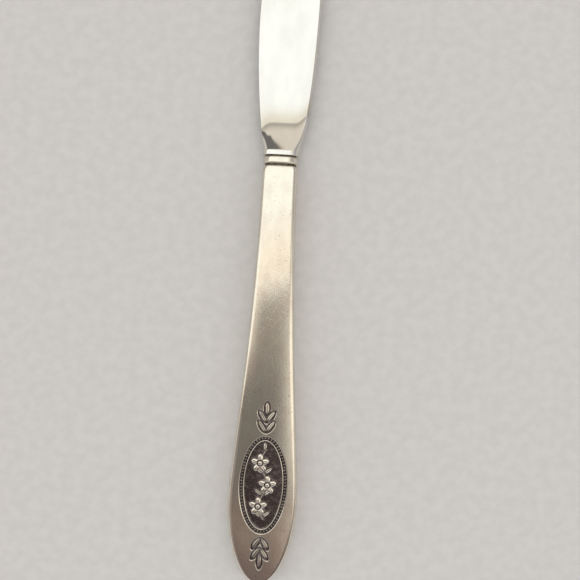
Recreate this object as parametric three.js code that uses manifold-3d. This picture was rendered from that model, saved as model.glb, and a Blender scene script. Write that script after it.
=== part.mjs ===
// A hollow-handled dinner knife, lying on the flat back of its handle.
// Millimetres, +Z up. Y runs along the knife with the blade's tip at +Y. X runs across it with the
// cutting edge at -X. The origin is on the table, under the middle of the knife's length.
// Each piece is drawn from the mouth of the handle (y = 0) and the seam of its two halves (z = 0).

import * as THREE from "three";
import { mergeVertices } from "three/addons/utils/BufferGeometryUtils.js";
import Module from "manifold-3d";

const wasm = await Module();
wasm.setup();

// Handle: two stamped shells with rolled edges, the front a little crowned and the back flat
const HANDLE_LENGTH = 120.4; // from the mouth to the butt
const HANDLE_WIDTH = 20; // at the widest place
const HANDLE_THICKNESS = 7.4;
const BUTT_LENGTH = 23.8; // from the butt to the widest place
const NECK_WIDTH = 10.15;
const BELLY_REACH = 11; // how far the widest place holds its width towards the neck
const NECK_REACH = 48; // how far the neck holds its width towards the butt
const CROWN_FALL = 0.45; // how much the crowned front falls away at the sides, at the widest place
const CROWN_FULLNESS = 3; // how flat a crowned face stays before it falls away
const EDGE_ROLL = 1.2; // radius of the rolled edge round each face
const SIDE_DRAFT = THREE.MathUtils.degToRad(2); // how far each side leans in from the seam
const CORNER_SHARE = 0.8; // most of a section's half-width that a rounded corner takes up
const SHOULDER_RADIUS = 1.5; // corners of the mouth, seen from the front
const LIP_RADIUS = 0.6; // edge of the mouth, seen from the side
const WALL = 0.8; // sheet thickness of the shells
const SEAM_GAP = 0.3; // solder line between the shells
const SEAM_RECESS = 0.15; // depth of that line below the shells' surface
const FINEST_RADIUS = 0.1; // least radius of an inside corner

// Collar: a ring between two solder joints, with the tang through it
const MOUTH_SOLDER = 0.55;
const FERRULE_LENGTH = 1.95;
const FERRULE_WIDTH = 10;
const FERRULE_SETBACK = 0.05; // front and back of the ring below the handle's faces
const FERRULE_CROWN = 0.2; // how much the ring falls away at its two ends
const FERRULE_FULLNESS = 8; // how flat the ring stays before it falls away there
const FERRULE_FALL = 0.8; // how much its front and back fall away at the sides
const FERRULE_ROLL = 2.2;
const BOLSTER_SOLDER = 0.45;
const GROOVE_DEPTH = 0.6; // depth of the solder below the ring

// Blade, bolster and tang: one forging
const BLADE_LENGTH = 105.25; // from the underside of the bolster to the tip
const BOLSTER_LENGTH = 1.35;
const BOLSTER_WIDTH = 10.5;
const BOLSTER_SETBACK = 0.15; // front and back of the bolster below the handle's faces
const BOLSTER_FALL = 0.6; // how much its front and back fall away at the sides
const BOLSTER_ROLL = 1.6;
const COVE_LENGTH = 8.7; // hollow that runs from the bolster down to the blade's flat
const COVE_EDGE_LENGTH = 6.8; // the same at the cutting edge
const COVE_SPINE_LENGTH = 12.5; // the same at the spine
const COVE_SIDE_SHARE = 0.28; // share of the width over which the cove's foot bends at each side
const COVE_BEND = 2.2; // how late that bend turns
const COVE_CREASE = 0.36; // share of the cove's rise that is straight, so that its foot is a crease
const COVE_SWELL = 1.8; // how sharply the rest of the rise steepens towards the bolster
const SPINE_THICKNESS = 2.2; // at the cove
const TIP_THICKNESS = 1.2; // spine thickness at the tip
const EDGE_THICKNESS = 0.4;
const SPINE_ROUND = 0.7;
const TIP_ROUND = 0.8;
const TANG_LENGTH = 58; // below the underside of the bolster
const TANG_WIDTH = 5;
const TANG_THICKNESS = 3;
const TANG_ROLL = 0.8;
const CLEARANCE = 0.3; // room round the tang and round the cement

// Outline of the blade from the knife's axis, distances along it from the underside of the bolster
const EDGE_BELLY = 8.18; // furthest reach of the cutting edge
const EDGE_BELLY_AT = 38.2;
const EDGE_FLARE_RUN = 3.1; // first stretch of the cutting edge above the bolster
const EDGE_FLARE_RISE = 0.3;
const EDGE_EASE_IN = 19.7;
const EDGE_EASE_OUT = 18;
const EDGE_TIP_SWEEP = 8.6; // how broadly the cutting edge turns into the tip
const SPINE_REACH = 9.7; // furthest reach of the spine
const SPINE_REACH_AT = 66;
const SPINE_FLARE_RUN = 7;
const SPINE_FLARE_RISE = 1.9;
const SPINE_EASE_IN = 45;
const SPINE_EASE_OUT = 26;
const SPINE_TIP_SWEEP = 3.2;
const TIP_OFFSET = 5.4; // the tip lies this far to the spine's side of the axis

// Medallion stamped into the front: a beaded oval with a vine of blossoms and leaves in it
const MEDALLION_CENTRE = 28.8; // from the butt
const MEDALLION_WIDTH = 13.9;
const MEDALLION_LENGTH = 28.1;
const MEDALLION_DEPTH = 0.6;
const BEAD_COUNT = 72;
const BEAD_DIAMETER = 0.8;
const BEAD_INSET = 0.62; // from the rim of the oval to the middle of a bead
const FILLET_INSET = 1.12; // from the rim of the oval to the raised line inside the beads
const FILLET_WIDTH = 0.45;
const FILLET_HEIGHT = 0.42;
const VINE_LENGTH = 20;
const VINE_SWAY = 1.2;
const VINE_DIAMETER = 0.7;
const BLOSSOM_COUNT = 3;
const BLOSSOM_PITCH = 6.2;
const PETAL_COUNT = 5;
const PETAL_REACH = 1.45; // from the middle of a blossom to the middle of a petal
const PETAL = { length: 2.5, width: 1.85, height: 0.46 };
const BOSS = { length: 1.5, width: 1.5, height: 0.54 };
const LEAF = { length: 3, width: 1.25, height: 0.4 };
const LEAF_REACH = 1.6; // from the vine to the middle of a leaf
const LEAF_SPREAD = THREE.MathUtils.degToRad(52);

// Sprigs: pairs of leaves and an end leaf, beyond each end of the medallion
const SPRIG_GAP = 0.9; // from the medallion to the sprig's foot
const SPRIG_DEPTH = 0.3;
const SPRIG_PAIRS = 2;
const SPRIG_PITCH = 2.9; // from one pair to the next
const SPRIG_END = 4.8; // from the sprig's foot to the end leaf
const SPRIG_SPREAD = THREE.MathUtils.degToRad(34);
const SPRIG_LEAF = { length: 4.2, width: 1.5, height: 0.3 };
const SPRIG_RIM = 0.2; // bare sunk line round each leaf

// Fineness of the curved surfaces
const ROLL_STEPS = 3; // for each rounded corner
const CROWN_STEPS = 4; // across the crowned face
const OUTLINE_STEPS = 14;
const SHOULDER_STEPS = 4;
const FERRULE_STEPS = 6;
const COVE_STEPS = 12;
const BLADE_STEPS = 20;
const BLADE_SECTION_STEPS = 14;
const OVAL_STEPS = 22;
const DOME_SEGMENTS = 8;
const DOME_RINGS = 4;
const VINE_STEPS = 20;
const VINE_SIDES = 3; // for each half of its section
const BLADE_LINE_STEPS = 80;
const WELD_DISTANCE = 1e-5;

// Places that follow from the sizes above
const HALF_THICKNESS = HANDLE_THICKNESS / 2;
const FERRULE_BASE = MOUTH_SOLDER;
const FERRULE_TOP = FERRULE_BASE + FERRULE_LENGTH;
const BOLSTER_BASE = FERRULE_TOP + BOLSTER_SOLDER;
const BOLSTER_TOP = BOLSTER_BASE + BOLSTER_LENGTH;
const COVE_TOP = BOLSTER_TOP + Math.max(COVE_LENGTH, COVE_EDGE_LENGTH, COVE_SPINE_LENGTH);
const TIP_AT = BOLSTER_BASE + BLADE_LENGTH;
const MEDALLION_AT = MEDALLION_CENTRE - HANDLE_LENGTH;
const MEDALLION_FLOOR = HALF_THICKNESS - MEDALLION_DEPTH;
const BEYOND = HANDLE_WIDTH; // overshoot of the cutting blocks

const silverPlate = new THREE.MeshStandardMaterial({ color: 0xb7afa2, metalness: 1, roughness: 0.34 });
const polishedSteel = new THREE.MeshStandardMaterial({ color: 0xdcdad5, metalness: 1, roughness: 0.1 });
const silverSolder = new THREE.MeshStandardMaterial({ color: 0x6d675f, metalness: 1, roughness: 0.5 });
const cutlersCement = new THREE.MeshStandardMaterial({ color: 0xb9ad97, metalness: 0, roughness: 0.95 });

// A closed three.js geometry as a solid that can be joined and cut
function solidOf(geometry) {
  const bare = geometry.clone();
  bare.deleteAttribute("normal");
  bare.deleteAttribute("uv");
  const merged = mergeVertices(bare, WELD_DISTANCE);
  const vertProperties = new Float32Array(merged.attributes.position.array);
  const triVerts = new Uint32Array(merged.index.array);
  return new wasm.Manifold(new wasm.Mesh({ numProp: 3, vertProperties, triVerts }));
}

// A named piece of the knife from a finished solid
function pieceOf(name, solid, material) {
  const mesh = solid.getMesh();
  const geometry = new THREE.BufferGeometry();
  geometry.setAttribute("position", new THREE.BufferAttribute(mesh.vertProperties, 3));
  geometry.setIndex(new THREE.BufferAttribute(mesh.triVerts, 1));
  geometry.computeVertexNormals();
  const piece = new THREE.Mesh(geometry, material);
  piece.name = name;
  return piece;
}

// A skin over rings of points, closed at each end by a fan to a point there.
// The rings follow one another along +Y and each runs from the lower side round by +X.
function loft(rings, startPoint, endPoint) {
  const count = rings[0].length;
  const points = [...rings.flat(), startPoint, endPoint];
  const startIndex = points.length - 2;
  const endIndex = points.length - 1;
  const lastRing = (rings.length - 1) * count;
  const index = [];
  for (let step = 0; step < count; step += 1) {
    const next = (step + 1) % count;
    for (let base = 0; base < lastRing; base += count) {
      index.push(base + step, base + count + step, base + next);
      index.push(base + next, base + count + step, base + count + next);
    }
    index.push(startIndex, step, next);
    index.push(endIndex, lastRing + next, lastRing + step);
  }
  const geometry = new THREE.BufferGeometry().setFromPoints(points);
  geometry.setIndex(index);
  return solidOf(geometry);
}

// How far a crowned face has fallen away at a place across it
function crownFall(across, halfWidth, fall) {
  return fall * Math.abs(across / halfWidth) ** CROWN_FULLNESS;
}

// A ring of points with rounded corners, whose faces may be crowned and whose sides may lean in.
// The corners reach as far across as they are high, if nothing else is given.
function rolledRing(along, halfWidth, halfHeight, roll, shape = {}) {
  const { draft = 0, above = 0, below = 0, reach = roll } = shape;
  const radius = Math.min(roll, halfHeight);
  const corner = Math.min(reach, CORNER_SHARE * halfWidth);
  const wallTop = halfHeight - radius * (1 - Math.sin(draft));
  const middle = halfWidth - wallTop * Math.tan(draft) - corner * Math.cos(draft);
  const fromFlat = [];
  for (let step = 0; step <= ROLL_STEPS; step += 1) {
    const angle = THREE.MathUtils.lerp(Math.PI / 2, draft, step / ROLL_STEPS);
    fromFlat.push([middle + corner * Math.cos(angle), halfHeight - radius * (1 - Math.sin(angle))]);
  }
  const toFlat = fromFlat.toReversed();
  const crown = [];
  for (let step = 1; step < CROWN_STEPS; step += 1) {
    crown.push([middle * (1 - (2 * step) / CROWN_STEPS), halfHeight]);
  }
  const place = (across, level) => new THREE.Vector3(across, along, level);
  const upper = ([across, level]) => place(across, level - crownFall(across, halfWidth, above));
  const lower = ([across, level]) => place(across, crownFall(across, halfWidth, below) - level);
  const mirrored = ([across, level]) => [-across, level];
  return [
    ...fromFlat.map(lower),
    place(halfWidth, 0),
    ...[...toFlat, ...(above > 0 ? crown : [])].map(upper),
    ...fromFlat.map(mirrored).map(upper),
    place(-halfWidth, 0),
    ...[...toFlat, ...(below > 0 ? crown : [])].map(mirrored).map(lower),
  ];
}

// A straight bar with that section between two places along the knife
function rolledBar(from, to, halfWidth, halfHeight, roll) {
  const rings = [from, to].map((along) => rolledRing(along, halfWidth, halfHeight, roll));
  return loft(rings, new THREE.Vector3(0, from, 0), new THREE.Vector3(0, to, 0));
}

// A block that takes in everything on one side of a level, up to another
function slab(low, high) {
  const length = 2 * (HANDLE_LENGTH + BLADE_LENGTH);
  const block = new THREE.BoxGeometry(2 * BEYOND, length, high - low);
  return solidOf(block.translate(0, 0, (low + high) / 2));
}

// Half of the handle's outline, drawn in by a wall: x is the place along the knife, y the half-width
function handleOutline(inset) {
  const corner = Math.max(SHOULDER_RADIUS - inset, FINEST_RADIUS);
  const widestAt = BUTT_LENGTH - HANDLE_LENGTH;
  const widest = HANDLE_WIDTH / 2 - inset;
  const neck = NECK_WIDTH / 2 - inset;
  const cornerAt = -inset - corner;
  const butt = new THREE.EllipseCurve(widestAt, 0, BUTT_LENGTH - inset, widest, Math.PI, Math.PI / 2, true);
  const side = new THREE.CubicBezierCurve(
    new THREE.Vector2(widestAt, widest),
    new THREE.Vector2(widestAt + BELLY_REACH, widest),
    new THREE.Vector2(-NECK_REACH, neck),
    new THREE.Vector2(cornerAt, neck),
  );
  const shoulder = new THREE.EllipseCurve(cornerAt, neck - corner, corner, corner, Math.PI / 2, 0, true);
  return [
    ...butt.getPoints(OUTLINE_STEPS),
    ...side.getPoints(OUTLINE_STEPS).slice(1),
    ...shoulder.getPoints(SHOULDER_STEPS).slice(1),
  ];
}

// Height of a rounded edge at a distance in from it, above the foot of the rounding
function roundedRise(fromEdge, radius) {
  return Math.sqrt(Math.max(radius ** 2 - Math.max(radius - fromEdge, 0) ** 2, 0));
}

// The handle's form, whole, drawn in by a wall. Its rolled edge runs on round the butt.
function handleForm(inset) {
  const roll = Math.max(EDGE_ROLL - inset, FINEST_RADIUS);
  const lip = Math.max(LIP_RADIUS - inset, FINEST_RADIUS);
  const wallHeight = HALF_THICKNESS - inset - roll;
  const [butt, ...stations] = handleOutline(inset);
  const rings = stations.map(({ x, y }) => {
    const fromButt = x - butt.x;
    const height = roundedRise(fromButt, roll) - lip + roundedRise(-inset - x, lip);
    const intoButt = Math.max(1 - fromButt / (BUTT_LENGTH - inset), 0);
    const outlineSlope = (intoButt * (HANDLE_WIDTH / 2 - inset) ** 2) / (y * (BUTT_LENGTH - inset));
    const above = CROWN_FALL * ((2 * y) / HANDLE_WIDTH) ** 2;
    const reach = roll * Math.hypot(1, outlineSlope);
    return rolledRing(x, y, wallHeight + height, height, { draft: SIDE_DRAFT, above, reach });
  });
  const mouth = new THREE.Vector3(0, stations.at(-1).x, 0);
  return loft(rings, new THREE.Vector3(0, butt.x, 0), mouth);
}

// The room that the tang takes up inside the other pieces
function tangSpace(clearance) {
  const from = BOLSTER_BASE - TANG_LENGTH - clearance;
  const halfWidth = TANG_WIDTH / 2 + clearance;
  return rolledBar(from, BOLSTER_TOP, halfWidth, TANG_THICKNESS / 2 + clearance, TANG_ROLL + clearance);
}

// An upright oval prism in the medallion's place, drawn in from the medallion's rim
function ovalPrism(inset, low, high) {
  const shape = new THREE.Shape();
  const halfWidth = MEDALLION_WIDTH / 2 - inset;
  shape.absellipse(0, MEDALLION_AT, halfWidth, MEDALLION_LENGTH / 2 - inset, 0, 2 * Math.PI);
  const settings = { depth: high - low, bevelEnabled: false, curveSegments: OVAL_STEPS };
  return solidOf(new THREE.ExtrudeGeometry(shape, settings).translate(0, 0, low));
}

// A half-sunk dome: its length lies along the turned +Y, its middle at the given place
function dome(size, across, along, level, turn = 0) {
  const geometry = new THREE.SphereGeometry(1, DOME_SEGMENTS, DOME_RINGS).rotateX(Math.PI / 2);
  geometry.scale(size.width / 2, size.length / 2, size.height);
  return solidOf(geometry.rotateZ(-turn).translate(across, along, level));
}

// The ring of beads that lies inside the medallion's rim
function beads() {
  const size = { length: BEAD_DIAMETER, width: BEAD_DIAMETER, height: BEAD_DIAMETER / 2 };
  const halfWidth = MEDALLION_WIDTH / 2 - BEAD_INSET;
  const oval = new THREE.EllipseCurve(0, MEDALLION_AT, halfWidth, MEDALLION_LENGTH / 2 - BEAD_INSET);
  const places = oval.getSpacedPoints(BEAD_COUNT).slice(1);
  return places.map(({ x, y }) => dome(size, x, y, MEDALLION_FLOOR));
}

// The raised line between the beads and the floor of the medallion
function fillet() {
  const top = MEDALLION_FLOOR + FILLET_HEIGHT;
  const low = MEDALLION_FLOOR - FILLET_HEIGHT;
  const opening = ovalPrism(FILLET_INSET + FILLET_WIDTH, low - FILLET_HEIGHT, top + FILLET_HEIGHT);
  return ovalPrism(FILLET_INSET, low, top).subtract(opening);
}

// How far the vine lies to the side at a place along the medallion
function vineSway(along) {
  return VINE_SWAY * Math.cos((Math.PI * along) / BLOSSOM_PITCH);
}

// The winding stem, half sunk in the floor
function vine() {
  const points = [];
  for (let step = 0; step <= VINE_STEPS; step += 1) {
    const along = VINE_LENGTH * (step / VINE_STEPS - 0.5);
    points.push(new THREE.Vector3(vineSway(along), MEDALLION_AT + along, MEDALLION_FLOOR));
  }
  const section = new THREE.Shape();
  section.absarc(0, 0, VINE_DIAMETER / 2, 0, 2 * Math.PI);
  const extrudePath = new THREE.CatmullRomCurve3(points);
  const settings = { steps: VINE_STEPS, curveSegments: VINE_SIDES, extrudePath };
  return solidOf(new THREE.ExtrudeGeometry(section, settings));
}

// One blossom: petals round a boss
function blossom(along) {
  const across = vineSway(along);
  const middle = MEDALLION_AT + along;
  const solids = [dome(BOSS, across, middle, MEDALLION_FLOOR)];
  for (let petal = 0; petal < PETAL_COUNT; petal += 1) {
    const turn = (2 * Math.PI * petal) / PETAL_COUNT;
    const x = across + PETAL_REACH * Math.sin(turn);
    const y = middle + PETAL_REACH * Math.cos(turn);
    solids.push(dome(PETAL, x, y, MEDALLION_FLOOR, turn));
  }
  return solids;
}

// Leaves that leave the vine at one place, each at its own angle
function leaves(along, turns) {
  return turns.map((turn) => {
    const x = vineSway(along) + LEAF_REACH * Math.sin(turn);
    const y = MEDALLION_AT + along + LEAF_REACH * Math.cos(turn);
    return dome(LEAF, x, y, MEDALLION_FLOOR, turn);
  });
}

// Everything that stands up from the floor of the medallion
function medallionRelief() {
  const solids = [fillet(), vine(), ...beads()];
  for (let number = 0; number < BLOSSOM_COUNT; number += 1) {
    solids.push(...blossom(BLOSSOM_PITCH * (number - (BLOSSOM_COUNT - 1) / 2)));
  }
  for (let number = 0; number < BLOSSOM_COUNT; number += 1) {
    solids.push(...leaves(BLOSSOM_PITCH * (number - BLOSSOM_COUNT / 2), [LEAF_SPREAD, -LEAF_SPREAD]));
  }
  solids.push(...leaves((BLOSSOM_PITCH * BLOSSOM_COUNT) / 2, [0]));
  return solids;
}

// The leaves of a sprig as domes: towards the neck (direction 1) or the butt (direction -1)
function sprig(direction, size, level) {
  const foot = MEDALLION_AT + direction * (MEDALLION_LENGTH / 2 + SPRIG_GAP);
  const reach = SPRIG_LEAF.length / 2;
  const leafAt = (start, turn) => {
    const y = foot + direction * (start + reach * Math.cos(turn));
    return dome(size, reach * Math.sin(turn), y, level, direction * turn);
  };
  const solids = [leafAt(SPRIG_END, 0)];
  for (let pair = 0; pair < SPRIG_PAIRS; pair += 1) {
    solids.push(leafAt(SPRIG_PITCH * pair, SPRIG_SPREAD), leafAt(SPRIG_PITCH * pair, -SPRIG_SPREAD));
  }
  return solids;
}

// The sunk beds of both sprigs, each a little wider than the leaf in it
function sprigBeds() {
  const length = SPRIG_LEAF.length + 2 * SPRIG_RIM;
  const bed = { length, width: SPRIG_LEAF.width + 2 * SPRIG_RIM, height: SPRIG_DEPTH };
  return [1, -1].flatMap((direction) => sprig(direction, bed, HALF_THICKNESS));
}

function sprigLeaves() {
  const level = HALF_THICKNESS - SPRIG_DEPTH;
  return [1, -1].flatMap((direction) => sprig(direction, SPRIG_LEAF, level));
}

function joined(solids) {
  return solids.reduce((whole, solid) => whole.add(solid));
}

// Both shells before they are parted: the handle's form, hollowed, with an opening for the tang
function shell() {
  return handleForm(0).subtract(handleForm(WALL)).subtract(tangSpace(CLEARANCE));
}

function handleFront() {
  const pad = ovalPrism(-WALL, MEDALLION_FLOOR - WALL, HALF_THICKNESS - WALL / 2);
  const recess = ovalPrism(0, MEDALLION_FLOOR, HALF_THICKNESS + MEDALLION_DEPTH);
  const blank = shell().intersect(slab(SEAM_GAP / 2, HALF_THICKNESS + BEYOND)).add(pad).subtract(recess);
  const sunk = blank.subtract(joined(sprigBeds()));
  const relief = joined([...medallionRelief(), ...sprigLeaves()]);
  return pieceOf("handle_front", sunk.add(relief), silverPlate);
}

function handleBack() {
  const half = shell().intersect(slab(-HALF_THICKNESS - BEYOND, -SEAM_GAP / 2));
  return pieceOf("handle_back", half, silverPlate);
}

function seamSolder() {
  const strip = handleForm(SEAM_RECESS).subtract(handleForm(WALL)).subtract(tangSpace(CLEARANCE));
  return pieceOf("seam_solder", strip.intersect(slab(-SEAM_GAP / 2, SEAM_GAP / 2)), silverSolder);
}

// The filler follows the shells' inside, with room for the tang and for the back of the medallion
function handleCement() {
  const padRoom = ovalPrism(-WALL - CLEARANCE, MEDALLION_FLOOR - WALL - CLEARANCE, HALF_THICKNESS);
  const core = handleForm(WALL + CLEARANCE).subtract(tangSpace(CLEARANCE)).subtract(padRoom);
  return pieceOf("handle_cement", core, cutlersCement);
}

// A plate of solder with the tang's opening through it
function solderPlate(name, from, to, halfWidth, halfHeight) {
  const plate = rolledBar(from, to, halfWidth, halfHeight, FERRULE_ROLL);
  return pieceOf(name, plate.subtract(tangSpace(CLEARANCE)), silverSolder);
}

function mouthSolder() {
  const halfWidth = NECK_WIDTH / 2 - GROOVE_DEPTH;
  return solderPlate("mouth_solder", 0, FERRULE_BASE, halfWidth, HALF_THICKNESS - LIP_RADIUS);
}

function bolsterSolder() {
  const halfWidth = Math.min(FERRULE_WIDTH, BOLSTER_WIDTH) / 2 - GROOVE_DEPTH;
  return solderPlate("bolster_solder", FERRULE_TOP, BOLSTER_BASE, halfWidth, HALF_THICKNESS - GROOVE_DEPTH);
}

// The ring, crowned along its length
function ferrule() {
  const rings = [];
  for (let step = 0; step <= FERRULE_STEPS; step += 1) {
    const share = (1 - Math.cos((Math.PI * step) / FERRULE_STEPS)) / 2;
    const along = FERRULE_BASE + FERRULE_LENGTH * share;
    const fall = FERRULE_CROWN * (2 * share - 1) ** FERRULE_FULLNESS;
    const halfHeight = HALF_THICKNESS - FERRULE_SETBACK - fall;
    const faces = { above: FERRULE_FALL, below: FERRULE_FALL };
    rings.push(rolledRing(along, FERRULE_WIDTH / 2 - fall, halfHeight, FERRULE_ROLL, faces));
  }
  const ends = [FERRULE_BASE, FERRULE_TOP].map((along) => new THREE.Vector3(0, along, 0));
  const ring = loft(rings, ...ends).subtract(tangSpace(CLEARANCE));
  return pieceOf("ferrule", ring, polishedSteel);
}

// The cutting edge seen from the front: x is the place along the knife, y the place across it
function edgeLine() {
  const bellyAt = BOLSTER_BASE + EDGE_BELLY_AT;
  const start = -BOLSTER_WIDTH / 2;
  const line = new THREE.Path().moveTo(BOLSTER_TOP, start);
  line.bezierCurveTo(
    BOLSTER_TOP + EDGE_FLARE_RUN, start - EDGE_FLARE_RISE,
    bellyAt - EDGE_EASE_IN, -EDGE_BELLY,
    bellyAt, -EDGE_BELLY,
  );
  line.bezierCurveTo(
    bellyAt + EDGE_EASE_OUT, -EDGE_BELLY,
    TIP_AT, TIP_OFFSET - EDGE_TIP_SWEEP,
    TIP_AT, TIP_OFFSET,
  );
  return line.getPoints(BLADE_LINE_STEPS);
}

// The spine seen from the front, in the same way
function spineLine() {
  const reachAt = BOLSTER_BASE + SPINE_REACH_AT;
  const start = BOLSTER_WIDTH / 2;
  const line = new THREE.Path().moveTo(BOLSTER_TOP, start);
  line.bezierCurveTo(
    BOLSTER_TOP + SPINE_FLARE_RUN, start + SPINE_FLARE_RISE,
    reachAt - SPINE_EASE_IN, SPINE_REACH,
    reachAt, SPINE_REACH,
  );
  line.bezierCurveTo(
    reachAt + SPINE_EASE_OUT, SPINE_REACH,
    TIP_AT, TIP_OFFSET + SPINE_TIP_SWEEP,
    TIP_AT, TIP_OFFSET,
  );
  return line.getPoints(BLADE_LINE_STEPS);
}

// Where a line lies across the knife at a place along it
function acrossAt(line, along) {
  const after = Math.max(line.findIndex(({ x }) => x >= along), 1);
  const [from, to] = [line[after - 1], line[after]];
  const share = THREE.MathUtils.clamp((along - from.x) / (to.x - from.x), 0, 1);
  return THREE.MathUtils.lerp(from.y, to.y, share);
}

// Half-thickness of a section that is flat in the middle and has rounded corners
function rolledHalfHeight(fromSide, halfHeight, roll) {
  const radius = Math.min(roll, halfHeight);
  const intoCorner = Math.max(1 - fromSide / radius, 0);
  return halfHeight - radius * (1 - Math.sqrt(1 - intoCorner ** 2));
}

// Length of the cove at a share of the blade's width, from its cutting edge (0) to its spine (1)
function coveLength(share) {
  const bend = (fromSide) => Math.max(1 - fromSide / COVE_SIDE_SHARE, 0) ** COVE_BEND;
  const towardsSpine = THREE.MathUtils.lerp(COVE_LENGTH, COVE_SPINE_LENGTH, bend(1 - share));
  return THREE.MathUtils.lerp(towardsSpine, COVE_EDGE_LENGTH, bend(share));
}

// Half-thickness of the blade: a wedge from the edge to the rounded spine, swelling to the bolster
function bladeHalfHeight(along, fromEdge, fromSpine) {
  const share = fromEdge / (fromEdge + fromSpine);
  const towardsTip = THREE.MathUtils.clamp((along - COVE_TOP) / (TIP_AT - COVE_TOP), 0, 1);
  const spineHalf = THREE.MathUtils.lerp(SPINE_THICKNESS, TIP_THICKNESS, towardsTip) / 2;
  const wedge = THREE.MathUtils.lerp(EDGE_THICKNESS / 2, spineHalf, share);
  const flat = rolledHalfHeight(fromSpine, wedge, SPINE_ROUND);
  const bolsterHalf = HALF_THICKNESS - BOLSTER_SETBACK;
  const rolled = rolledHalfHeight(Math.min(fromEdge, fromSpine), bolsterHalf, BOLSTER_ROLL);
  const bolster = rolled - crownFall(2 * share - 1, 1, BOLSTER_FALL);
  const upCove = THREE.MathUtils.clamp(1 - (along - BOLSTER_TOP) / coveLength(share), 0, 1);
  const crease = (COVE_CREASE * coveLength(share)) / COVE_LENGTH;
  const cove = THREE.MathUtils.lerp(upCove ** COVE_SWELL, upCove, crease);
  const intoTip = Math.max((along - TIP_AT) / TIP_ROUND + 1, 0);
  const full = THREE.MathUtils.lerp(flat, Math.max(bolster, flat), cove);
  return Math.max(full, EDGE_THICKNESS / 2) * Math.sqrt(1 - intoTip ** 2);
}

// A ring of points round the blade at a place along it
function bladeRing(along, edges, spines) {
  const edge = acrossAt(edges, along);
  const spine = acrossAt(spines, along);
  const lower = [];
  const upper = [];
  for (let step = 0; step <= BLADE_SECTION_STEPS; step += 1) {
    const share = (1 - Math.cos((Math.PI * step) / BLADE_SECTION_STEPS)) / 2;
    const across = THREE.MathUtils.lerp(edge, spine, share);
    const halfHeight = bladeHalfHeight(along, across - edge, spine - across);
    lower.push(new THREE.Vector3(across, along, -halfHeight));
    upper.unshift(new THREE.Vector3(across, along, halfHeight));
  }
  return [...lower, ...upper];
}

// Places of the blade's sections: close together in the cove and at the tip
function bladeStations() {
  const stations = [BOLSTER_BASE];
  for (let step = 0; step <= COVE_STEPS; step += 1) {
    stations.push(THREE.MathUtils.lerp(BOLSTER_TOP, COVE_TOP, step / COVE_STEPS));
  }
  for (let step = 1; step < BLADE_STEPS; step += 1) {
    const share = Math.sin((Math.PI / 2) * (step / BLADE_STEPS));
    stations.push(THREE.MathUtils.lerp(COVE_TOP, TIP_AT, share));
  }
  return stations;
}

function blade() {
  const edges = edgeLine();
  const spines = spineLine();
  const rings = bladeStations().map((along) => bladeRing(along, edges, spines));
  const base = new THREE.Vector3(0, BOLSTER_BASE, 0);
  const forging = loft(rings, base, new THREE.Vector3(TIP_OFFSET, TIP_AT, 0));
  return pieceOf("blade", forging.add(tangSpace(0)), polishedSteel);
}

const knife = new THREE.Group();
knife.add(blade(), bolsterSolder(), ferrule(), mouthSolder());
knife.add(handleFront(), handleBack(), seamSolder(), handleCement());
knife.position.set(0, (HANDLE_LENGTH - TIP_AT) / 2, HALF_THICKNESS);

const part = new THREE.Group();
part.add(knife);

export default part;
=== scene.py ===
"""A hollow-handled dinner knife on a pale table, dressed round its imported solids.

The knife lies on the flat back of its handle. +Y runs to the blade's tip, +X to the spine and +Z up
out of the ornamented front. The classes hold their sizes in millimetres, and a mesh is turned to metres
when it is made.
"""

import logging
import math
from collections.abc import Sequence
from dataclasses import dataclass, field
from enum import Enum

import bmesh
import bpy
import numpy as np
from mathutils import Matrix, Vector


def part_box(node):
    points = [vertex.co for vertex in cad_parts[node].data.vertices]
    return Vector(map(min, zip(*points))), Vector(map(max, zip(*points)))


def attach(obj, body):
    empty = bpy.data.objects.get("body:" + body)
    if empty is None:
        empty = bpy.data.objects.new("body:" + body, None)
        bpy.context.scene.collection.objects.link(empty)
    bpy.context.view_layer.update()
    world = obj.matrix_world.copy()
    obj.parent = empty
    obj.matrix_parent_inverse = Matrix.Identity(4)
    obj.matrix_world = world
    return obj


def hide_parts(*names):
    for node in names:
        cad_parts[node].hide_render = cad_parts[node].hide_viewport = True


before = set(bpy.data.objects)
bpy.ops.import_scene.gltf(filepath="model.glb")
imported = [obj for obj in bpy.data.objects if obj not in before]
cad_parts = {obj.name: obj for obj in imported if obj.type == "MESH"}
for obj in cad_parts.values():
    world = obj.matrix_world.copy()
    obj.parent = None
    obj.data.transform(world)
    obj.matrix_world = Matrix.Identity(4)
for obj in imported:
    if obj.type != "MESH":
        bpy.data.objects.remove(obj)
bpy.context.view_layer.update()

Array = np.ndarray
Socket = bpy.types.NodeSocket
log = logging.getLogger("dinner_knife")

MM = 0.001  # metres in a millimetre
BODY = "root"
CURVE_STEPS = 240  # points on each curve that an outline is read from
CORNER_SHARE = 0.8  # most of a section's half-width that a rounded corner takes up
CROWN_FULLNESS = 3  # how flat a crowned face stays before it falls away
FINEST_RADIUS = 0.1  # least radius of an inside corner, in millimetres
RELIEF_SEED = 7
TINY = 1e-9  # keeps a divisor from being zero


class Slot(Enum):
    """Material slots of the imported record."""

    STEEL = "polished_steel"
    RING = "polished_plate"
    PLATE = "satin_plate"
    SOLDER = "silver_solder"
    CEMENT = "cement"


class Join(Enum):
    """Ways to join the values of two patterns."""

    SUM = "ADD"
    PRODUCT = "MULTIPLY"
    QUOTIENT = "DIVIDE"


class Mark(Enum):
    """What years of use leave on a surface, with painted light and shade, as a level for each point of a
    mesh.
    """

    # Oxide and burnish on the handle, with a painted highlight on the burnish, and painted shade along the
    # blade's crease
    WEAR_AND_PAINTED_LIGHT = "wear"
    FILM = "film"


class Face(Enum):
    """The two half-shells of the handle, by the side of the seam on which they lie."""

    FRONT = 1.0
    BACK = -1.0


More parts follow.
